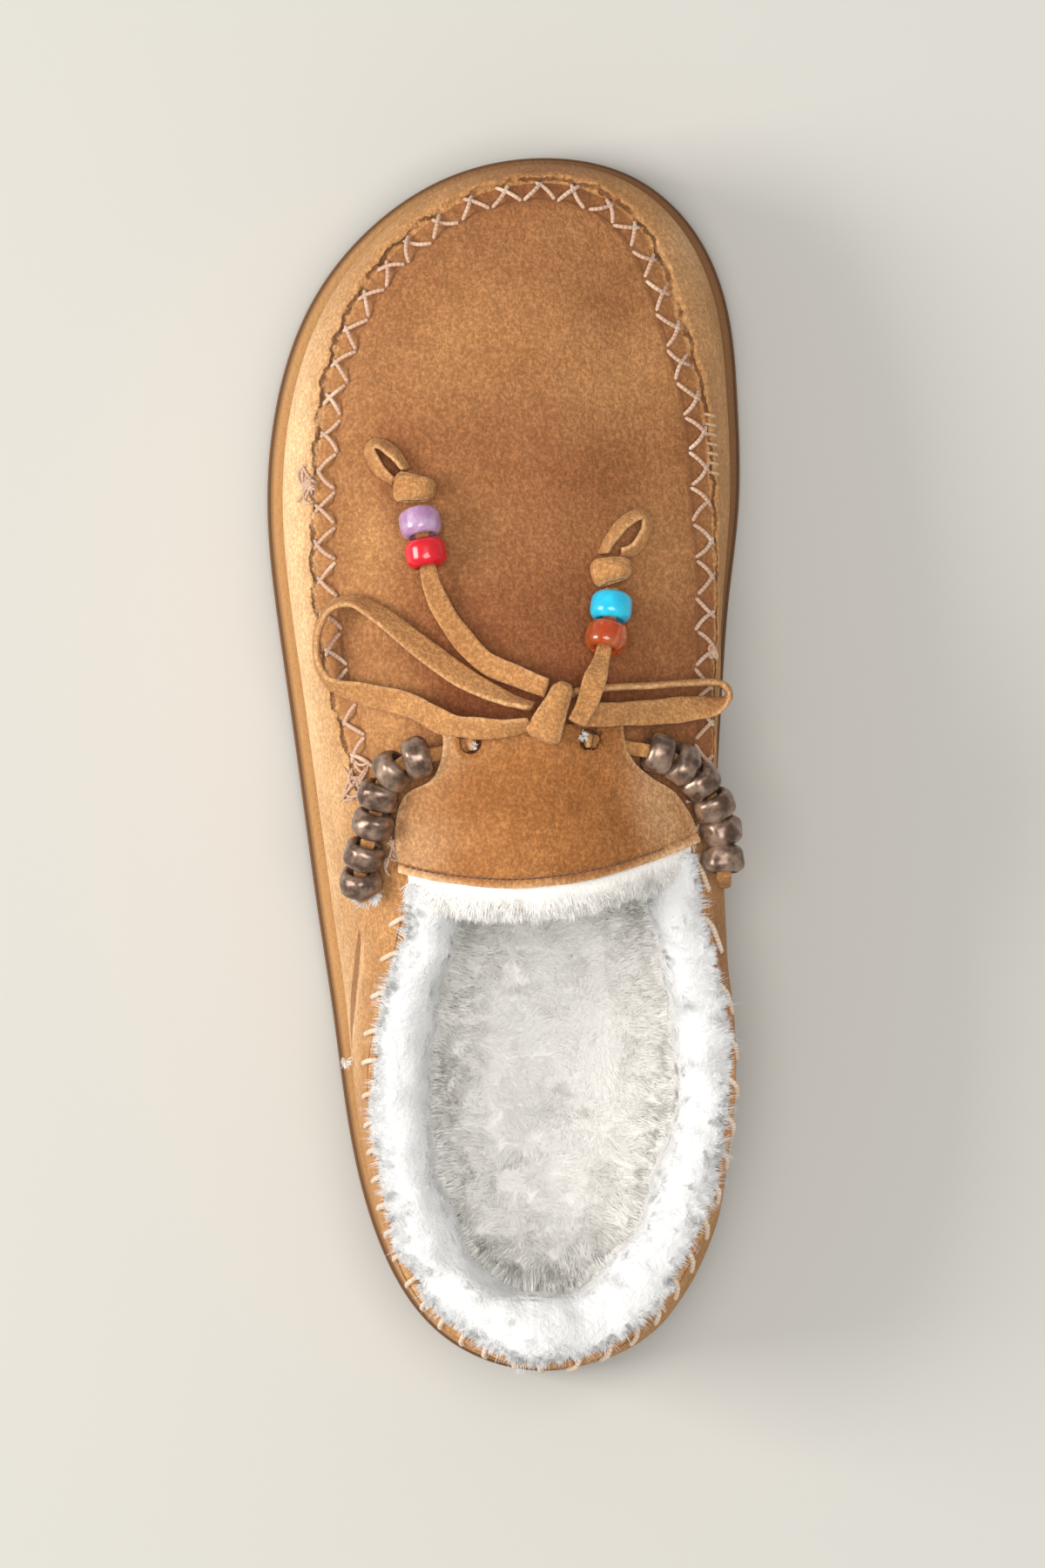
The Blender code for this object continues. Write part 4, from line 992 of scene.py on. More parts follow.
# darker (amount < 0) and paler patches: x, y, radius along x and y, amount; the big pale ones down the outer wall
# (x -38 to -47) are painted highlight where the lamp on the left falls, the dark one over the toe's tip (4, 125)
# painted shade
patches = (
    (0.0, 92.0, 30.0, 18.0, 0.06), (4.0, 22.0, 34.0, 20.0, -0.22), (12.0, 103.0, 10.0, 4.5, -0.08),
    (24.0, 94.0, 6.0, 8.0, -0.06), (-14.0, 96.0, 12.0, 8.0, 0.12),
    (4.0, 84.0, 24.0, 14.0, 0.12), (22.0, 62.0, 9.0, 12.0, -0.06), (-24.0, 62.0, 6.0, 9.0, -0.20),
    (4.0, 107.0, 24.0, 9.0, 0.14), (-23.0, 9.0, 9.0, 16.0, 0.50), (-28.0, 52.0, 5.0, 22.0, 0.22),
    (-6.0, 60.0, 12.0, 9.0, 0.05), (14.0, 36.0, 12.0, 9.0, -0.18), (-8.0, 28.0, 14.0, 8.0, -0.12),
    (-28.0, 45.0, 5.0, 12.0, 0.14), (31.0, 42.0, 6.0, 20.0, 0.14), (0.0, 12.0, 24.0, 6.0, -0.25),
    # the first three: painted highlight down the outer wall
    (-47.0, 60.0, 7.0, 40.0, 0.95), (-44.0, 6.0, 7.0, 30.0, 0.95), (-38.0, -50.0, 8.0, 40.0, 0.85),
    # (-40, 96): painted highlight on the outer wall; (4, 125): painted shade at the toe's tip
    (-40.0, 96.0, 9.0, 20.0, 0.45), (4.0, 125.0, 34.0, 6.5, -0.55), (38.0, 108.0, 10.0, 14.0, 0.35),
    (46.0, 72.0, 4.0, 24.0, 0.20), (45.0, 20.0, 5.0, 26.0, -0.15), (40.0, -110.0, 9.0, 16.0, 0.15),
    (-18.0, -112.0, 10.0, 14.0, 0.20), (10.0, -124.0, 20.0, 6.0, 0.15), (44.0, -40.0, 4.0, 26.0, -0.25),
)


def seamLine():
    # the plug's edge from the inner throat corner round the toe to the outer one
    rows = np.linspace(-throatRow, throatRow, 1441)
    line = ring(rows)[2]
    along = runAlong(line)
    return rows, line, along - along[len(along) // 2]


seamRows, seamPoints, seamAlong = seamLine()


def seamPlace(points):
    # the nearest point of the seam: how far off it, how far along it, and its row
    flat = points.reshape(-1, 3)
    near = np.empty(len(flat), int)
    for start in range(0, len(flat), 4000):
        part = flat[start:start + 4000]
        square = ((part[:, None, :] - seamPoints[None, ::3]) ** 2).sum(axis=-1)
        near[start:start + 4000] = square.argmin(axis=1) * 3
    near = np.clip(near, 1, len(seamPoints) - 2)
    step = seamPoints[near + 1] - seamPoints[near - 1]
    offset = flat - seamPoints[near]
    slide = (offset * step).sum(axis=1) / (step**2).sum(axis=1)
    away = np.linalg.norm(offset - slide[:, None].clip(-0.5, 0.5) * step, axis=1)
    along = seamAlong[near] + slide.clip(-0.5, 0.5) * np.linalg.norm(step, axis=1)
    shape = points.shape[:-1]
    return away.reshape(shape), along.reshape(shape), seamRows[near].reshape(shape)


def seamRelief(across, along, fade):
    # across < 0 on the wall: arched lips outside -2.2 mm, a puckered sunken band, a soft step up to the plug
    d = across / mm
    wave = along * 2 * np.pi / upperShape["pitch"]
    arches = np.abs(np.sin(wave / 2))
    swell = 1 + 0.6 * np.sin(along / (5.3 * mm)) * np.sin(along / (13.1 * mm))
    lip = 0.50 * bell(d + 3.3 + 0.7 * arches, 1.3) * (0.4 + 0.8 * arches) * swell
    line = -0.48 * bell(d + 2.2 + 0.7 * arches, 0.7)
    band = -0.55 * plateau(d, -2.6, -1.9, 1.5, 2.6)
    pucker = 0.26 * np.sin(wave * 2 + 0.6 * np.sin(d)) * bell(d, 2.0)
    plug = 0.55 * smoothStep(d, 1.6, 3.4) * bell(np.maximum(d - 3.4, 0), 5.0)
    tug = -0.20 * (0.5 + 0.5 * np.sin(wave - 0.9)) * smoothStep(d, 2.0, 3.0)
    return (lip + line + band + pucker + plug + tug * np.exp(-np.maximum(d - 3.0, 0) / 1.6)) * fade * mm


def creaseRelief(points):
    # each crease: a soft trough, a bell off its wandering line, tapered to its ends
    h = np.zeros(points.shape[:-1])
    for x1, y1, x2, y2, width, depth in creases:
        way = np.array([x2 - x1, y2 - y1]) * mm
        offset = points[..., :2] - np.array([x1, y1]) * mm
        t = (offset @ way) / (way @ way)
        wander = ripple(points, 14 * mm, int(abs(x1 * 7 + y1))) * 0.6 * mm
        off = (offset[..., 0] * way[1] - offset[..., 1] * way[0]) / np.linalg.norm(way) + wander
        h -= depth * mm * bell(off, width * mm) * plateau(t, -0.08, 0.25, 0.75, 1.08)
    return h


def upperTone(points):
    # a slow ripple and the patches
    return ripple(points, 40 * mm, 91) * 0.10 + sum(amount * blot(points, *place) for *place, amount in patches)


slitLine = ((-29.7, -34.9), (-32.2, -59.4))  # its two ends, in mm


def slitPlace(points):
    # how far off the slit's line over the surface, in mm, above it > 0, and how far along it, -1..1
    t = np.linspace(0, 1, 40)
    line = lookUp(t, (0, 1), np.array(slitLine)) * mm
    spots = np.column_stack([line, np.interp(t, (0, 0.31, 0.67, 1), [skinHeight(*line[k]) for k in (0, 12, 26, -1)])])
    flat = points.reshape(-1, 3)
    near = np.full((len(flat), 2), (30.0, 0.0))
    close = np.flatnonzero((np.abs(flat[:, 1] - spots[:, 1].mean()) < 18 * mm) & (flat[:, 0] < -20 * mm))
    away = np.linalg.norm(flat[close][:, None] - spots[None], axis=2)
    best = away.argmin(axis=1)
    near[close, 0] = away[np.arange(len(close)), best] * np.sign(flat[close, 2] - spots[best, 2]) / mm
    near[close, 1] = (spots[:, 1].mean() - flat[close, 1]) / np.ptp(spots[:, 1]) * 2
    return near[:, 0], near[:, 1]


def dress(points, normals, side):
    # relief along the surface's normal, turned upright at the seam so that both sides meet
    away, along, row = seamPlace(points)
    fade = 1 - smoothStep(np.abs(row), seamFinishes - 1.0, seamFinishes)
    across = side * away
    upright = bell(away, 3.0 * mm)[..., None]
    way = unit(normals * (1 - upright) + straightUp * upright)
    across = across - upperShape["inset"]
    relief = seamRelief(across, along, fade)
    calm = smoothStep(away, 0.0, 4 * mm)
    lifted = smoothStep(points[..., 2], 19 * mm, 30 * mm)
    waves = ripple(points, 30 * mm, 5) * 0.22 * mm + ripple(points, 11 * mm, 6) * 0.07 * mm
    relief = relief + (creaseRelief(points) + waves) * calm * lifted
    shown = np.where(fade > 0.02, across / mm, side * 30.0)
    return points + way * relief[..., None], shown, along / mm


def gridNormals(points):
    # cross product of the steps along the grid's two ways
    return unit(np.cross(np.gradient(points, axis=1), np.gradient(points, axis=0)))


def ringNormals(grid):
    # the same for a grid that closes on itself
    return gridNormals(np.concatenate([grid[:, -1:], grid, grid[:, :1]], axis=1))[:, 1:-1]


def wallGrid(columns, near, far):
    # turns crowd towards the topline: the near ones step evenly away from it, the far ones go on to the foot
    rows = ringRows(columns)
    _, _, top, lean, _ = ring(rows)
    reach = np.linalg.norm(wallPoint(rows, 0.0)[:, :2] - top[:, :2], axis=1)
    close = np.linspace(0, 1, near)[:, None] * np.minimum(upperShape["nearReach"], 0.62 * reach)
    turns = np.degrees(np.arccos((close / reach) ** (1 / lean[:, 0])))
    rest = turns[-1] * (1 - np.linspace(0, 1, far + 1)[1:, None] ** 0.9)
    return rows, np.concatenate([turns, rest])


def collarEdge(rows, count=7):
    # the folded edge behind the throat: half a circle over the wall's thickness, then down inside
    top = ring(rows)[2]
    angle = np.linspace(0, np.pi, count)[:, None, None]
    half = lastSizes["wall"] / 2
    over = top + collarPull(rows) * half * (1 - np.cos(angle)) + straightUp * half * 0.7 * np.sin(angle)
    down = over[-1:] - straightUp * 4.5 * mm
    return np.concatenate([over, down])


def plugNormals(rows, shares):
    # cross product of short steps over the plug, pointing up
    step = plugPoint(rows + 0.03, shares) - plugPoint(rows - 0.03, shares)
    over = plugPoint(rows, shares + 0.01) - plugPoint(rows, shares - 0.01)
    return facingUp(unit(np.cross(over, -step)))


def addUpper():
    # wall and plug, each dressed with the seam and creases, the wall's edge pulled down at each whip stitch;
    # then the folded collar edge, the wall's foot turned in and the plug's rear edge turned under
    rows, turns = wallGrid(upperShape["columns"], upperShape["near"], upperShape["far"])
    wall = wallPoint(rows[None], turns)
    out = -ringNormals(wall)
    out[0] = wallOut(rows, 90.0)
    wall, wallAcross, wallAlong = dress(wall, out, -1)
    wall[-1, :, 2] -= lastSizes["gap"] + upperShape["footDrop"]
    collared = (rows > throatRow) & (rows < rowCount - throatRow)
    wall[..., 2] -= np.exp(-np.arange(len(turns)) / whipThread["pullDown"])[:, None] * whipTug(rows) * collared

    plugRows = rows[:upperShape["columns"] * throatRow // rowCount + 1]
    width = np.linalg.norm(ring(plugRows)[2] - ring(rowCount - plugRows)[2], axis=1) / 2
    near = np.minimum(upperShape["nearReach"] / width.clip(1e-6), 0.6)
    near = np.linspace(0, 1, upperShape["near"])[:, None] * near
    middle = np.linspace(-1, 1, upperShape["plugMiddle"] + 2)[1:-1, None] * (1 - near[-1])
    shares = np.concatenate([near - 1, middle, (1 - near)[::-1]])
    plug, plugAcross, plugAlong = dress(plugPoint(plugRows[None], shares), plugNormals(plugRows[None], shares), 1)

    count = upperShape["columns"] * (rowCount - 2 * throatRow) // rowCount + 1
    collarRows = np.linspace(throatRow, rowCount - throatRow, count)
    collar = collarEdge(collarRows)
    collar[..., 2] -= whipTug(collarRows)
    turned = np.concatenate([inward(rows) * upperShape["footIn"], np.full((len(rows), 1), 0.05 * mm)], axis=-1)
    foot = np.concatenate([wall[-1:], wall[-1:] + turned])
    rear = np.concatenate([plug[:, -1:], plug[:, -1:] + plugUnder[None]], axis=1)
    # each sheet, ringed or not and turned over if not, how far off the seam it is and how far along
    sheets = (
        (wall, True, wallAcross, wallAlong),
        (plug, False, plugAcross, plugAlong),
        (collar, False, 30.0, 0.0),
        (foot, True, -30.0, 0.0),
        (rear, False, 30.0, 0.0),
    )
    points, faces = joinParts([gridPart(grid, ringed, over=not ringed) for grid, ringed, *_ in sheets])
    spread = lambda k: np.concatenate([np.broadcast_to(sheet[k], sheet[0].shape[:2]).ravel() for sheet in sheets])
    tone = upperTone(points)
    start = wall.size // 3
    tone[start:start + plug.size // 3] += upperShape["plugTone"]
    values = {"seamAcross": spread(2), "seamAlong": spread(3), "tone": tone}
    values["slitAcross"], values["slitAlong"] = slitPlace(points)
    addPiece("upper_suede", points, faces, "upper", ("upper",), 3e-5, values, True)
    return surfaceTree(points, np.concatenate(faces))


# whip stitches: the first row, the last row, how many, slant in rows, length down the wall
whips = (
    {"from": 9.35, "to": 13.95, "count": 19, "slant": -0.05, "reach": 3.4 * mm},
    {"from": 14.3, "to": 18.8, "count": 15, "slant": 0.20, "reach": 3.2 * mm},
)
whipThread = {  # how it pulls the edge: by how much, how far along in rows, how far down in steps of the wall
    "radius": 0.56 * mm, "pull": 0.35 * mm, "pullRows": 0.05, "pullDown": 5.0, "up": 9, "over": 6, "samples": 80,
}


def whipTug(rows):
    # how far the whip stitches pull the edge down: a bell at each
    spots = np.concatenate([np.linspace(w["from"], w["to"], w["count"]) for w in whips])
    return sum(bell(rows - row, whipThread["pullRows"]) * whipThread["pull"] for row in spots)


suedeTree = addUpper()
print("upper cut")

liningShape = {"columns": 224, "near": 8, "far": 14, "across": 41, "in": lastSizes["wall"] + 0.4 * mm}


def addLining():
    # the wall and plug again, a wall's thickness in, closed over the toes and open at the foot
    rows, turns = wallGrid(liningShape["columns"], liningShape["near"], liningShape["far"])
    wall = wallPoint(rows[None], turns)
    out = -ringNormals(wall)
    out[0] = wallOut(rows, 88.0)
    wall = wall - out * liningShape["in"] + ripple(wall, 5 * mm, 8)[..., None] * out * 0.3 * mm
    plugRows = rows[:liningShape["columns"] * throatRow // rowCount + 1]
    shares = np.linspace(-1, 1, liningShape["across"])[:, None]
    plug = plugPoint(plugRows[None], shares)
    plug = plug - plugNormals(plugRows[None], shares) * liningShape["in"]
    plug[0], plug[-1] = wall[0, :len(plugRows)], wall[0, -np.arange(len(plugRows))]
    points, faces = joinParts([gridPart(wall, True), gridPart(plug, over=True)])
    addPiece("upper_lining", points, faces, "fleece", (), 1e-5, {"tone": 0.3})


addLining()
print("lining set in")


# the flap from its front edge to its rear one: left x, left y, right x, right y, bow to the heel, in mm, and
# share of the lift
flapRows = np.array((
    (-12.0, 7.6, 24.0, 8.0, 0.0, 1.0),
    (-11.8, 2.4, 25.0, 2.6, 0.4, 0.9),
    (-14.2, -3.2, 29.2, -2.4, 1.4, 0.28),
    (-19.6, -6.6, 34.6, -6.0, 2.8, 0.1),
    (-21.4, -13.4, 38.0, -11.4, 4.2, 0.03),
    (-20.4, -21.9, 39.3, -15.7, 5.6, 0.0),
))
flapShape = {"thick": 1.6 * mm, "lift": 2.6 * mm, "gap": 0.48 * mm, "rows": 56, "across": 96, "stitchIn": 1.6 * mm}
# x, y, half width, half length, depth, in mm
flapDents = ((6, -2, 16, 2.2, 0.35), (-10, -8, 3, 7, 0.35), (24, -8, 3.5, 7, 0.3), (8, -12, 12, 3, -0.2))
laceHoles = {"places": ((-6.3, 4.4), (17.4, 4.9)), "radius": 2.3 * mm}


def flapPoint(row, across):
    # chords between the two edges, bowed to the heel, laid on the suede and lifted at the front
    row, s = np.broadcast_arrays(np.asarray(row, float), np.asarray(across, float))
    v = openSpline(flapRows, row)
    x = chord(v[..., 0], v[..., 2], s) * mm
    y = (chord(v[..., 1], v[..., 3], s) - v[..., 4] * (1 - s**2)) * mm
    lift = np.maximum(v[..., 5], 0) * flapShape["lift"] + flapShape["gap"]
    height = np.array([skinHeight(a, b) for a, b in zip(x.ravel(), y.ravel())]).reshape(x.shape)
    return np.stack([x, y, height + lift], axis=-1)


def addFlap():
    # the sheet, its rear hem raised behind a stitched groove, holes let in, then thickness and round edges
    rows = np.linspace(0, len(flapRows) - 1, flapShape["rows"])[:, None]
    sheet = flapPoint(rows, np.linspace(-1, 1, flapShape["across"])[None])
    out = facingUp(-gridNormals(sheet))
    toRear = np.cumsum(np.linalg.norm(np.diff(sheet[::-1], axis=0), axis=2), axis=0)
    toRear = np.concatenate([toRear[::-1], np.zeros((1, sheet.shape[1]))])
    span = np.linalg.norm(sheet[:, -1:] - sheet[:, :1], axis=2)
    toSide = (1 - np.abs(np.linspace(-1, 1, flapShape["across"])))[None] * span / 2
    d = (toRear - flapShape["stitchIn"]) / mm
    relief = -0.34 * bell(d, 0.5) + 0.10 * bell(d + 1.1, 0.7)
    relief += ripple(sheet, 22 * mm, 41) * 0.28 + ripple(sheet, 7 * mm, 42) * 0.07
    for *place, depth in flapDents:
        relief -= depth * blot(sheet, *place)
    sheet = sheet + out * relief[..., None] * mm
    # the stitched groove darkened as painted shade (the -0.45 term); the rear and side edges paler
    tone = 0.40 * bell(toRear, 0.6 * mm) + 0.20 * bell(toSide, 0.8 * mm) - 0.45 * bell(d, 0.4)
    tone += 0.30 * smoothStep(np.abs(sheet[..., 0] / mm - 9), 10, 26)
    tone += ripple(sheet, 18 * mm, 43) * 0.10
    faces = gridFaces(sheet)
    flat = sheet.reshape(-1, 3)
    keep = np.ones(len(faces), bool)
    radius = laceHoles["radius"]
    for place in laceHoles["places"]:
        middle = np.array(place) * mm
        offset = flat[:, :2] - middle
        away = np.linalg.norm(offset, axis=1)
        keep &= np.linalg.norm(flat[faces][:, :, :2].mean(axis=1) - middle, axis=1) > radius
        edge = np.abs(away - radius) < 0.32 * mm
        flat[edge, :2] = middle + offset[edge] / away[edge, None] * radius
        # painted shade round the hole's rim
        tone.reshape(-1)[away < radius + 0.8 * mm] -= 0.35
    piece = addPiece("throat_flap_suede", flat, faces[keep], "flap", ("throat_flap",), 0, {"tone": tone}, True)
    leather = piece.modifiers.new("leather", "SOLIDIFY")
    leather.thickness = flapShape["thick"]
    leather.offset = 1
    rounding = piece.modifiers.new("rounding", "BEVEL")
    rounding.width = 0.4 * mm
    rounding.segments = 2
    rounding.limit_method = "ANGLE"
    rounding.angle_limit = 0.9
    top = flat.reshape(sheet.shape) + out * flapShape["thick"]
    return top, toRear


flapTop, flapToRear = addFlap()
flapTree = surfaceTree(flapTop, gridFaces(flapTop))
print("flap cut")

seamThread = {"radius": 0.44 * mm, "outer": 2.1 * mm, "inner": 2.2 * mm, "overlap": 0.07, "arch": 0.5 * mm}


def addThreads(name, paths, radius, finish="thread", sides=7):
    # round tubes along paths of one count: circle * radius * sqrt(1 - t^10), closed to a point at both ends
    paths = np.asarray(paths)
    ahead = unit(np.gradient(paths, axis=1))
    first = unit(np.cross(ahead, [0.11, 0.07, 0.99]))
    second = np.cross(ahead, first)
    t = np.linspace(-1, 1, paths.shape[1])
    size = radius * np.sqrt(1 - np.abs(t) ** 10)[:, None]
    angle = roundAngles(sides)
    circle = np.cos(angle)[:, None] * first[:, :, None] + np.sin(angle)[:, None] * second[:, :, None]
    grid = paths[:, :, None] + circle * size[None, :, :, None]
    along = np.cumsum(np.linalg.norm(np.diff(paths, axis=1, prepend=paths[:, :1]), axis=2), axis=1) / mm
    starts = np.arange(len(paths))[:, None, None] * (paths.shape[1] * sides)
    faces = (gridFaces(grid[0], True)[None] + starts).reshape(-1, 4)
    twist = np.broadcast_to(along[:, :, None], grid.shape[:3])
    addPiece(name, grid, faces, finish, (), 1e-7, {"twist": twist}, True)


def seamSpot(along, off):
    # a point off the seam by off, dropped onto the suede
    row = np.interp(along, seamAlong, seamRows)
    place = lookUp(along, seamAlong, seamPoints[:, :2]) + inward(row, 2) * (off + upperShape["inset"])
    return np.array([*place, skinHeight(*place, suedeTree)])


def layThread(ends, count, arch, lift, dive=0.6 * mm, bow=0.0):
    # between two spots: along the surface, bowed to one side, raised by arch in the middle and sunk at both ends
    start, stop = ends
    t = np.linspace(0, 1, count)
    flat = start + (stop - start) * t[:, None]
    flat = flat + np.array([start[1] - stop[1], stop[0] - start[0], 0]) * (bow * np.sin(np.pi * t))[:, None]
    ground = np.array([skinHeight(x, y, suedeTree) for x, y in flat[:, :2]])
    raised = np.maximum(ground, flat[:, 2]) + lift + arch * np.sin(np.pi * t)
    sunk = dive * (np.exp(-t * 14) + np.exp(-(1 - t) * 14))
    return np.column_stack([flat[:, :2], raised - sunk])


def seamStitches():
    # zigzag: out to the wall and back to the plug once a pitch, the strokes crossing near their ends
    rng = np.random.default_rng(21)
    pitch, reach = upperShape["pitch"], seamAlong[-1] - 13 * mm
    paths = []
    for k in range(int(-reach / pitch), int(reach / pitch)):
        jitter = lambda size: rng.uniform(-1, 1) * size
        s = k * pitch
        lap = (seamThread["overlap"] + rng.uniform(0, 0.10) + (0.05 if abs(s) < 70 * mm else 0)) * pitch
        outer = seamThread["outer"] + jitter(0.35 * mm)
        inner = seamThread["inner"] + jitter(0.3 * mm)
        spots = ((s - 0.48 * pitch, inner), (s + lap, -outer), (s - lap * 0.8, -outer), (s + 0.48 * pitch, inner))
        spots = [seamSpot(a + jitter(0.25 * mm), b) for a, b in spots]
        paths.append(layThread(spots[:2], 12, seamThread["arch"], 0.3 * mm, bow=jitter(0.11)))
        paths.append(layThread(spots[2:], 12, seamThread["arch"] + 0.5 * mm, 0.45 * mm, bow=jitter(0.11)))
    addThreads("seam_zigzag", paths, seamThread["radius"])


def whipStitches():
    # up the wall, over the folded edge and down into the fleece, leaning along the edge
    paths = []
    rng = np.random.default_rng(22)
    samples, count = whipThread["samples"], whipThread["up"] + whipThread["over"]
    t = np.linspace(0, 1, count)
    for w in whips:
        for row in np.linspace(w["from"], w["to"], w["count"]):
            row = row + rng.uniform(-0.02, 0.02)
            here = np.full(samples, row)
            turns = np.linspace(90, 25, samples)
            wall = wallPoint(here, turns) + wallOut(here, turns) * 0.25 * mm
            down = np.linspace(w["reach"] * rng.uniform(0.85, 1.15), 0, whipThread["up"])
            up = lookUp(down, runAlong(wall), wall)
            edge = collarEdge(np.array([row]), whipThread["over"])[:whipThread["over"], 0]
            over = edge + straightUp * 0.4 * mm + collarPull(row) * 0.2 * mm
            shift = wallPoint(row + (t - 0.5) * w["slant"], 90.0) - wallPoint(here[:count], 90.0)
            path = np.concatenate([up, over]) + shift + straightUp * (0.35 * mm * np.sin(np.pi * t))[:, None]
            path[0] -= wallOut(row, 70.0) * 0.5 * mm
            path[-1, 2] -= 0.8 * mm
            paths.append(path)
    addThreads("collar_whip_stitches", paths, whipThread["radius"], "whip thread")


# stray threads: x, y, spread across and along, how many, in mm
tangles = (
    (-40.4, 59.0, 1.4, 5.0, 5), (-30.6, -2.2, 2.0, 6.2, 7), (-22.6, -17.4, 1.2, 4.5, 5),
    (38.6, -16.5, 0.9, 2.0, 3), (43.0, 22.0, 1.0, 2.4, 2),
)


def strayThreads():
    # each a short curl: a line wavering by two sines, laid on the suede
    rng = np.random.default_rng(23)
    paths = []
    for x, y, wide, long, count in tangles:
        for _ in range(count):
            t = np.linspace(0, 1, 26)
            phase = rng.uniform(0, 6.28, 3)
            size = rng.uniform(0.5, 1.0)
            px = x + rng.uniform(-0.6, 0.6) * wide + wide * size * np.sin(t * rng.uniform(4, 9) + phase[0])
            py = y + rng.uniform(-0.5, 0.5) * long + long * size * (t - 0.5) * 1.2
            py = py + 0.9 * np.sin(t * 11 + phase[1])
            z = [skinHeight(a * mm, b * mm, suedeTree) for a, b in zip(px, py)]
            lift = 0.4 + 0.7 * np.sin(t * 7 + phase[2]) ** 2
            paths.append(np.column_stack([px * mm, py * mm, np.array(z) + lift * mm]))
    addThreads("stray_threads", paths, 0.3 * mm, sides=6)


# first bar's x and y, the step to the next, how many, left and right end off x, and how far the left one drops
tackColumn = {"x": 42.9, "y": 72.6, "step": (0.12, -2.0), "count": 7, "ends": ((-1.3, 0), (1.2, 0.5))}


def barTacks():
    # a column of short bars down the inner side of the forefoot
    paths = []
    for k in range(tackColumn["count"]):
        x, y = tackColumn["x"] + tackColumn["step"][0] * k, tackColumn["y"] + tackColumn["step"][1] * k
        spots = [((x + a) * mm, (y - b) * mm) for a, b in tackColumn["ends"]]
        ends = [np.array([*spot, skinHeight(*spot, suedeTree)]) for spot in spots]
        paths.append(layThread(ends, 9, 0.35 * mm, 0.15 * mm))
    addThreads("side_bar_tacks", paths, 0.36 * mm, "tack thread")


machineRow = {"pitches": 46, "sewn": 41, "long": 1.5, "radius": 0.17 * mm}  # long: in columns of the flap's grid


def flapStitches():
    # a machine row along the rear edge, each stitch a short bar that rises in its middle
    rng = np.random.default_rng(24)
    paths = []
    last = flapTop.shape[1] - 1
    for c in np.linspace(2, last - 2, machineRow["pitches"])[:machineRow["sewn"]].astype(int):
        ends = []
        for side in (c, c + machineRow["long"]):
            j = min(int(round(side)), last)
            row = np.interp(flapShape["stitchIn"], flapToRear[::-1, j], np.arange(flapTop.shape[0])[::-1])
            low, share = int(row), row % 1
            ends.append(flapTop[low, j] * (1 - share) + flapTop[min(low + 1, flapTop.shape[0] - 1), j] * share)
        t = np.linspace(0, 1, 7)[:, None]
        path = ends[0] + (ends[1] - ends[0]) * t
        path[:, 2] += (0.02 + 0.16 * np.sin(np.pi * t[:, 0])) * mm + rng.uniform(0, 0.05) * mm
        paths.append(path)
    addThreads("flap_stitch_row", paths, machineRow["radius"], "row thread", 6)


seamStitches()
whipStitches()
strayThreads()
barTacks()
flapStitches()
print("threads sewn")

fleeceShape = {"gap": 0.96 * mm, "rise": 3.4 * mm, "side": 10 * mm, "heel": 14 * mm, "sections": 240, "around": 40}
footbedShape = {"columns": 220, "across": 30, "in": 2.7 * mm, "hairs": 40000, "hair": 3.4 * mm}


def insoleTop(y):
    # the footbed's thickness over its foot
    return overSole(y) + lastSizes["insole"]


def fleeceSections(rows):
    # up the inside of the wall, a roll over its edge, and down to the insole
    sole, _, top, lean, _ = ring(rows)
    low = overSole(sole[:, 1])
    foot = insoleTop(sole[:, 1]) + lastSizes["gap"]
    first = (foot + 0.4 * mm - low) / (top[:, 2] - low)
    back = lastSizes["wall"] + fleeceShape["gap"]
    points = []
    for k in range(4):
        share = first + (0.96 - first) * k / 3
        turn = np.degrees(np.arcsin(share ** (1 / lean[:, 0])))
        points.append(wallPoint(rows, turn) - wallOut(rows, turn) * back)
    pull = collarPull(rows)
    toHeel = np.clip(1 - np.abs(rows - heelRow) / (heelRow - throatRow), 0, 1)
    width = (fleeceShape["side"] + (fleeceShape["heel"] - fleeceShape["side"]) * toHeel**0.7)[:, None]
    for a, b in ((0.17, 0.55), (0.32, 0.95), (0.55, 1.0), (0.8, 0.6), (0.97, -0.6)):
        points.append(top + pull * width * a + straightUp * fleeceShape["rise"] * b)
    for share in (0.5, 0.0):
        place = top + pull * width
        place[:, 2] = foot + (top[:, 2] - foot) * share
        points.append(place)
    return np.stack(points, axis=1)


def closedCurve(points, count):
    # Catmull-Rom round each section
    loop = np.concatenate([points[:, -1:], points, points[:, :2]], axis=1).transpose(1, 0, 2)
    last = points.shape[1]
    at = np.linspace(1, last + 1, count, endpoint=False)
    i = np.floor(at).astype(int)
    ends = (loop[np.minimum(i + k, len(loop) - 1)] for k in (-1, 0, 1, 2))
    return catmullRom(*ends, (at - i)[:, None, None]).transpose(1, 0, 2), at - 1


def addCollarBase():
    # the sections, lumpy where they show, closed at both ends
    rows = np.linspace(throatRow + 0.1, rowCount - throatRow - 0.1, fleeceShape["sections"])
    grid, at = closedCurve(fleeceSections(rows), fleeceShape["around"])
    lumps = ripple(grid, 14 * mm, 51) * 0.55 + ripple(grid, 6 * mm, 52) * 0.35 - 0.5
    grid = grid + ringNormals(grid) * (lumps * smoothStep(at, 3.2, 4.4))[..., None] * mm
    whole = capped(grid)
    addPiece("fleece_collar_hide", whole, gridFaces(whole, True), "fleece", ("fleece_collar",), 1e-6, {"tone": 0.45})
    return grid, at


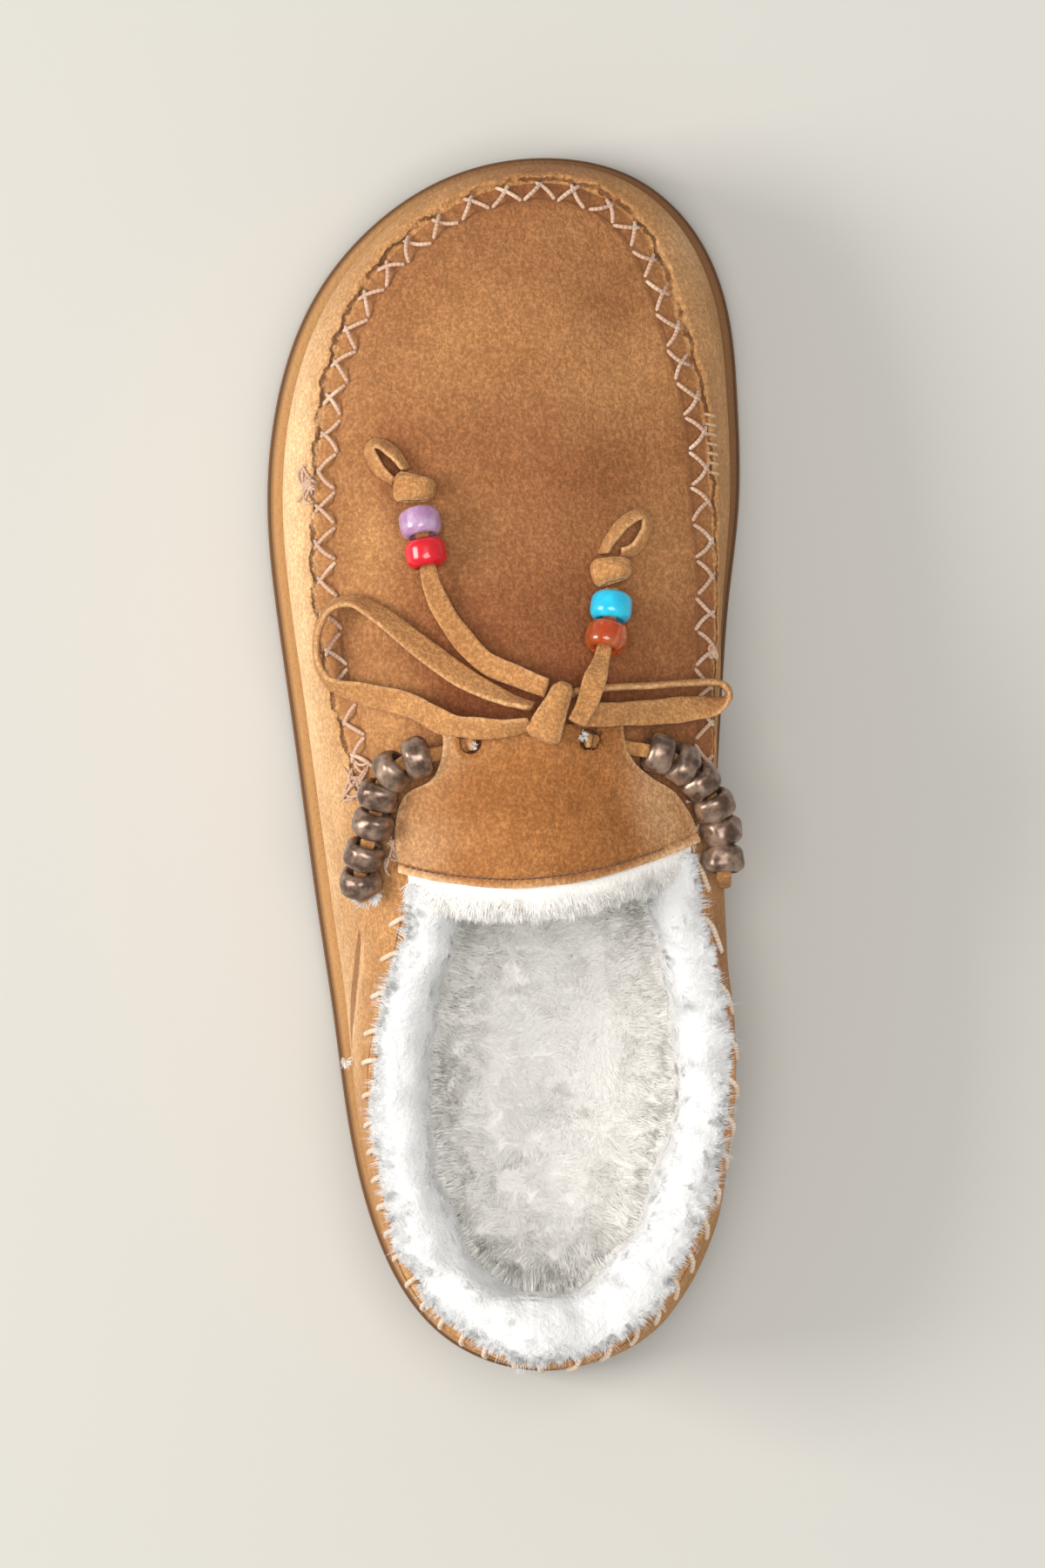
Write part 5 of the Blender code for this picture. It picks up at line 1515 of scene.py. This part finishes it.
def addInsoleBase():
    # the footbed: a wavy top inside the wall, its side and a flat foot
    count, middle = footbedShape["columns"], footbedShape["columns"] // 2 + 1
    rows = ringRows(count)
    sole, ledge = ring(rows)[:2]
    narrow = lastSizes["tuck"] + (np.sqrt(ledge**2 + mm**2) + ledge) / 2 + footbedShape["in"]
    rings = []
    for inset, share in ((0.0, 0.0), (0.0, 0.7), (0.8 * mm, 0.92), (2.0 * mm, 1.0)):
        flat = sole + inward(rows) * (narrow + inset)
        rings.append(np.column_stack([flat, overSole(flat[:, 1]) + lastSizes["insole"] * share]))
    across = np.linspace(-1, 1, footbedShape["across"] + 1)[:, None, None]
    sheets = []
    for level in (0, 3):
        edge = rings[level]
        sheet = chord(edge[None, :middle], edge[-np.arange(middle)][None], across)
        sheet[..., 2] = (insoleTop if level else overSole)(sheet[..., 1])
        sheets.append(sheet)
    foot, top = sheets
    inner = 1 - np.abs(np.broadcast_to(across[..., 0], top.shape[:2])) ** 6
    top[..., 2] += (ripple(top, 14 * mm, 61) * 0.5 + ripple(top, 6 * mm, 62) * 0.2 - 0.2) * inner * mm
    side = np.array(rings)
    points, faces = joinParts([gridPart(side, True), gridPart(foot), gridPart(top, over=True)])
    # the brighter fleece copy: painted light against the shade in the footbed's well
    addPiece("insole_fleece", points, faces, "footbed", ("insole",), 1e-5, {"tone": 0.5}, True)
    return top


collarGrid, collarAt = addCollarBase()
insoleGrid = addInsoleBase()
print("fleece bases laid")


def scatterRoots(grid, weight, count, seed):
    # random places on a grid's quads, as many per area as its weight says
    rng = np.random.default_rng(seed)
    a, b, c = grid[:-1, :-1], grid[:-1, 1:], grid[1:, :-1]
    normal = np.cross(b - a, c - a)
    share = (np.linalg.norm(normal, axis=-1) * np.broadcast_to(weight, grid.shape[:2])[:-1, :-1]).ravel()
    i, j = np.unravel_index(rng.choice(len(share), count, p=share / share.sum()), normal.shape[:2])
    u, v = rng.uniform(0, 1, (2, count, 1))
    front = grid[i, j] * (1 - u) + grid[i, j + 1] * u
    back = grid[i + 1, j] * (1 - u) + grid[i + 1, j + 1] * u
    return front * (1 - v) + back * v, unit(normal[i, j]), i, j


# wild: how far a lock strays; drawn: towards its mean tip; tones: at the root and at the tip, the root's lower one
# painted shade
pileShape = {"width": 0.13 * mm, "perLock": 46, "drawn": 0.22, "wild": 0.38, "curl": 0.14, "tones": (0.35, 0.9)}


def addPile(name, roots, normals, flow, length, finish, seed, **changes):
    # wool: each hair is a strip of two steps, bent from the surface's normal over to its lock's lean
    # (normal + flow + a random share) and drawn towards the lock's mean tip
    shape = {**pileShape, **changes}
    rng = np.random.default_rng(seed)
    n = len(roots)
    locks = roots[rng.choice(n, max(3, n // shape["perLock"]), replace=False)]
    nearest = np.empty(n, int)
    for start in range(0, n, 2000):
        part = roots[start:start + 2000]
        nearest[start:start + 2000] = ((locks**2).sum(axis=1) - 2 * part @ locks.T).argmin(axis=1)
    drift = ripples(locks, 18 * mm, seed)
    level = lambda v: v - normals * (v * normals).sum(axis=1, keepdims=True)
    wild = level((drift * 0.7 + rng.normal(0, 0.6, (len(locks), 3)))[nearest]) * shape["wild"]
    lean = unit(normals * 0.24 + flow + wild)
    size = length * rng.uniform(0.6, 1.15, (n, 1)) * rng.uniform(0.8, 1.15, (len(locks), 1))[nearest]
    tip = roots + unit(lean + level(rng.normal(0, 0.28, (n, 3)))) * size
    sums = np.zeros((len(locks), 3))
    np.add.at(sums, nearest, tip)
    tips = sums / np.bincount(nearest, minlength=len(locks)).clip(1)[:, None]
    twirl = level(ripples(roots, 3 * mm, seed + 10)) * size * shape["curl"]
    tip = tip + (tips[nearest] - tip) * shape["drawn"] + twirl
    middle = roots * 0.55 + tip * 0.45 + normals * size * 0.12 + twirl * 0.4
    side = unit(np.cross(tip - roots, normals))
    half = side * shape["width"] / 2
    points = np.stack([roots - half, roots + half, middle + half, middle - half, tip], axis=1)
    first = np.arange(n)[:, None] * 5
    low, high = shape["tones"]
    tone = np.array([low, low, (low + high) / 2, (low + high) / 2, high]) + rng.normal(0, 0.09, (n, 1))
    tone = tone + rng.normal(0, 0.08, len(locks))[nearest][:, None]
    addPiece(name, points, [first + [0, 1, 2, 3], first + [3, 2, 4]], finish, (), 0, {"tone": tone})


# the collar's wool: out from the edge, flat on top, down the inside, and a few long wisps over the suede;
# grows: where round the section it rises to full and falls away
collarWool = {
    "edge": {"grows": (3.5, 4.2, 5.0, 6.0), "count": 44000, "length": 2.1 * mm, "in": -0.4, "sag": 0.20, "seed": 81,
             "finish": "fleece", "hair": {"wild": 0.28, "curl": 0.1, "width": 0.15 * mm}},
    "top": {"grows": (4.8, 5.6, 7.6, 8.4), "count": 46000, "length": 3.4 * mm, "in": 0.25, "sag": 0.0, "seed": 87,
            "finish": "fleece", "hair": {"wild": 0.5, "width": 0.15 * mm}},
    # the inside band takes the brighter fleece copy: painted light against the shade inside the collar
    "side": {"grows": (7.2, 8.0, 9.9, 10.3), "count": 32000, "length": 4.4 * mm, "in": 0.35, "sag": -0.5, "seed": 95,
             "finish": "footbed", "hair": {"wild": 0.35, "width": 0.20 * mm}},
    "wisps": {"grows": (3.5, 4.2, 4.6, 5.2), "count": 1500, "length": 3.8 * mm, "in": -1.0, "sag": -0.1, "seed": 99,
              "finish": "fleece", "hair": {"drawn": 0.5, "perLock": 7, "width": 0.11 * mm}},
}


def collarPile():
    # each band of wool leans in or out and sags
    for part, wool in collarWool.items():
        weight = plateau(collarAt, *wool["grows"])
        roots, normals, i, _ = scatterRoots(collarGrid, weight, wool["count"], wool["seed"])
        rows = np.linspace(throatRow, rowCount - throatRow, len(collarGrid))[i]
        flow = collarPull(rows) * wool["in"] + straightUp * wool["sag"]
        name, length, finish, seed = "fleece_collar_" + part, wool["length"], wool["finish"], wool["seed"]
        addPile(name, roots, normals, flow, length, finish, seed, **wool["hair"])


coveShape = {"rows": 300, "across": 15, "reach": 11 * mm, "hairs": 26000, "hair": 3.2 * mm}


def addCove():
    # where collar and footbed meet, the wool fills the corner: p0 (1-t)^2 + p1 2t(1-t) + p2 t^2
    # from the collar's inside, by the corner, onto the footbed
    rows = np.linspace(throatRow + 0.25, rowCount - throatRow - 0.25, coveShape["rows"])
    sections = fleeceSections(rows)
    corner = sections[:, 10]
    pull = collarPull(rows)
    high = corner + (sections[:, 9] - corner) * 1.25 - pull * 0.6 * mm
    low = corner + pull * coveShape["reach"]
    low[:, 2] = insoleTop(low[:, 1]) - 0.3 * mm
    t = np.linspace(0, 1, coveShape["across"])[None, :, None]
    grid = high[:, None] * (1 - t) ** 2 + (corner + pull * mm)[:, None] * 2 * t * (1 - t) + low[:, None] * t**2
    out = facingUp(gridNormals(grid))
    lumps = ripple(grid, 12 * mm, 67) * 0.4 + ripple(grid, 5 * mm, 68) * 0.15
    grid = grid + out * (lumps[..., None] * np.sin(np.pi * t) * mm)
    # the brighter fleece copy: painted light against the shade in the corner
    addPiece("collar_cove", grid, gridFaces(grid), "footbed", (), 0, {"tone": 0.5})
    roots, _, i, j = scatterRoots(grid, 1.0, coveShape["hairs"], 69)
    addPile("collar_cove_pile", roots, out[i, j], pull[i] * 0.25, coveShape["hair"], "footbed", 70,
            wild=0.3, curl=0.1, width=0.20 * mm)


def insolePile():
    # upright wool over the part of the footbed that shows, flowing with a slow ripple
    inside = plateau(insoleGrid[..., 1], -122 * mm, -112 * mm, 0 * mm, 16 * mm)
    roots, normals, _, _ = scatterRoots(insoleGrid, inside, footbedShape["hairs"], 73)
    flow = np.stack([ripple(roots, 24 * mm, 95), ripple(roots, 24 * mm, 96) - 0.3, 0 * roots[:, 0]], axis=-1) * 0.8
    addPile("insole_pile", roots, facingUp(normals), flow, footbedShape["hair"], "footbed", 97,
            wild=0.6, curl=0.22, width=0.20 * mm, tones=(0.45, 0.9))


throatRoll = {  # half its depth and height, and its middle from the flap's edge, in mm
    "deep": 3.9, "high": 2.9, "at": (0, -1.2, -3.0), "rows": 160, "around": 24, "hairs": 11000, "hair": 3.2 * mm,
}


def throatPile():
    # a roll of lining hung under the flap's rear edge: an ellipse carried from corner to corner
    edge = flapPoint(len(flapRows) - 1, np.linspace(-0.97, 0.97, throatRoll["rows"]))
    angle = roundAngles(throatRoll["around"])
    grid = edge[:, None] + np.array(throatRoll["at"]) * mm
    oval = [0 * angle, -np.cos(angle) * throatRoll["deep"], np.sin(angle) * throatRoll["high"]]
    grid = grid + np.stack(oval, axis=-1) * mm
    out = ringNormals(grid)
    out = out * np.sign((out * (grid - grid.mean(axis=1, keepdims=True))).sum(axis=-1, keepdims=True))
    grid = grid + out * (ripple(grid, 8 * mm, 64) * 0.4)[..., None] * mm
    # the brighter fleece copy: painted light against the flap's shadow
    addPiece("throat_fleece", grid, gridFaces(grid, True), "footbed", (), 0, {"tone": 0.45})
    weight = np.clip(np.cos(angle + 0.5) + 0.35, 0, 1)
    roots, _, i, j = scatterRoots(grid, weight, throatRoll["hairs"], 65)
    addPile("throat_pile", roots, out[i, j], np.array([0, -0.7, -0.1]), throatRoll["hair"], "footbed", 66)


# tufts of lining that peep out: x, y, spread, how many hairs, their length, in mm
tufts = (
    (-28.9, -27.3, 1.3, 420, 1.7), (-26.3, -26.4, 1.2, 320, 1.7), (-5.7, 3.8, 0.5, 40, 1.0),
    (16.6, 5.6, 0.5, 60, 1.0), (-32.9, -62.0, 0.55, 110, 1.3),
)


def addTufts():
    # each a round scatter of hairs on suede or flap that lean out from its middle
    rng = np.random.default_rng(31)
    roots, outward, lengths = [], [], []
    for x, y, spread, count, length in tufts:
        offset = rng.normal(0, spread * 0.55, (count, 2))
        spots = np.array([x, y]) + offset
        z = [max(skinHeight(a * mm, b * mm, tree) for tree in (suedeTree, flapTree)) for a, b in spots]
        roots.append(np.column_stack([spots * mm, np.array(z)]))
        outward.append(np.column_stack([offset / spread * 0.7, np.zeros(count)]))
        lengths.append(np.full((count, 1), length * mm))
    roots = np.concatenate(roots)
    up = np.broadcast_to(straightUp, roots.shape)
    addPile("lining_tufts", roots, up, np.concatenate(outward), np.concatenate(lengths), "fleece", 32, perLock=30)


collarPile()
addCove()
insolePile()
throatPile()
addTufts()
print("pile combed")


def addFloor():
    # one wide square under everything
    side = 3.0
    mesh = bpy.data.meshes.new("floor")
    mesh.from_pydata([(-side, -side, 0), (side, -side, 0), (side, side, 0), (-side, side, 0)], [], [(0, 1, 2, 3)])
    mesh.materials.append(Finish("floor", Base_Color=(0.575, 0.565, 0.53, 1), Roughness=0.95).material)
    addObject("floor", mesh)


addFloor()
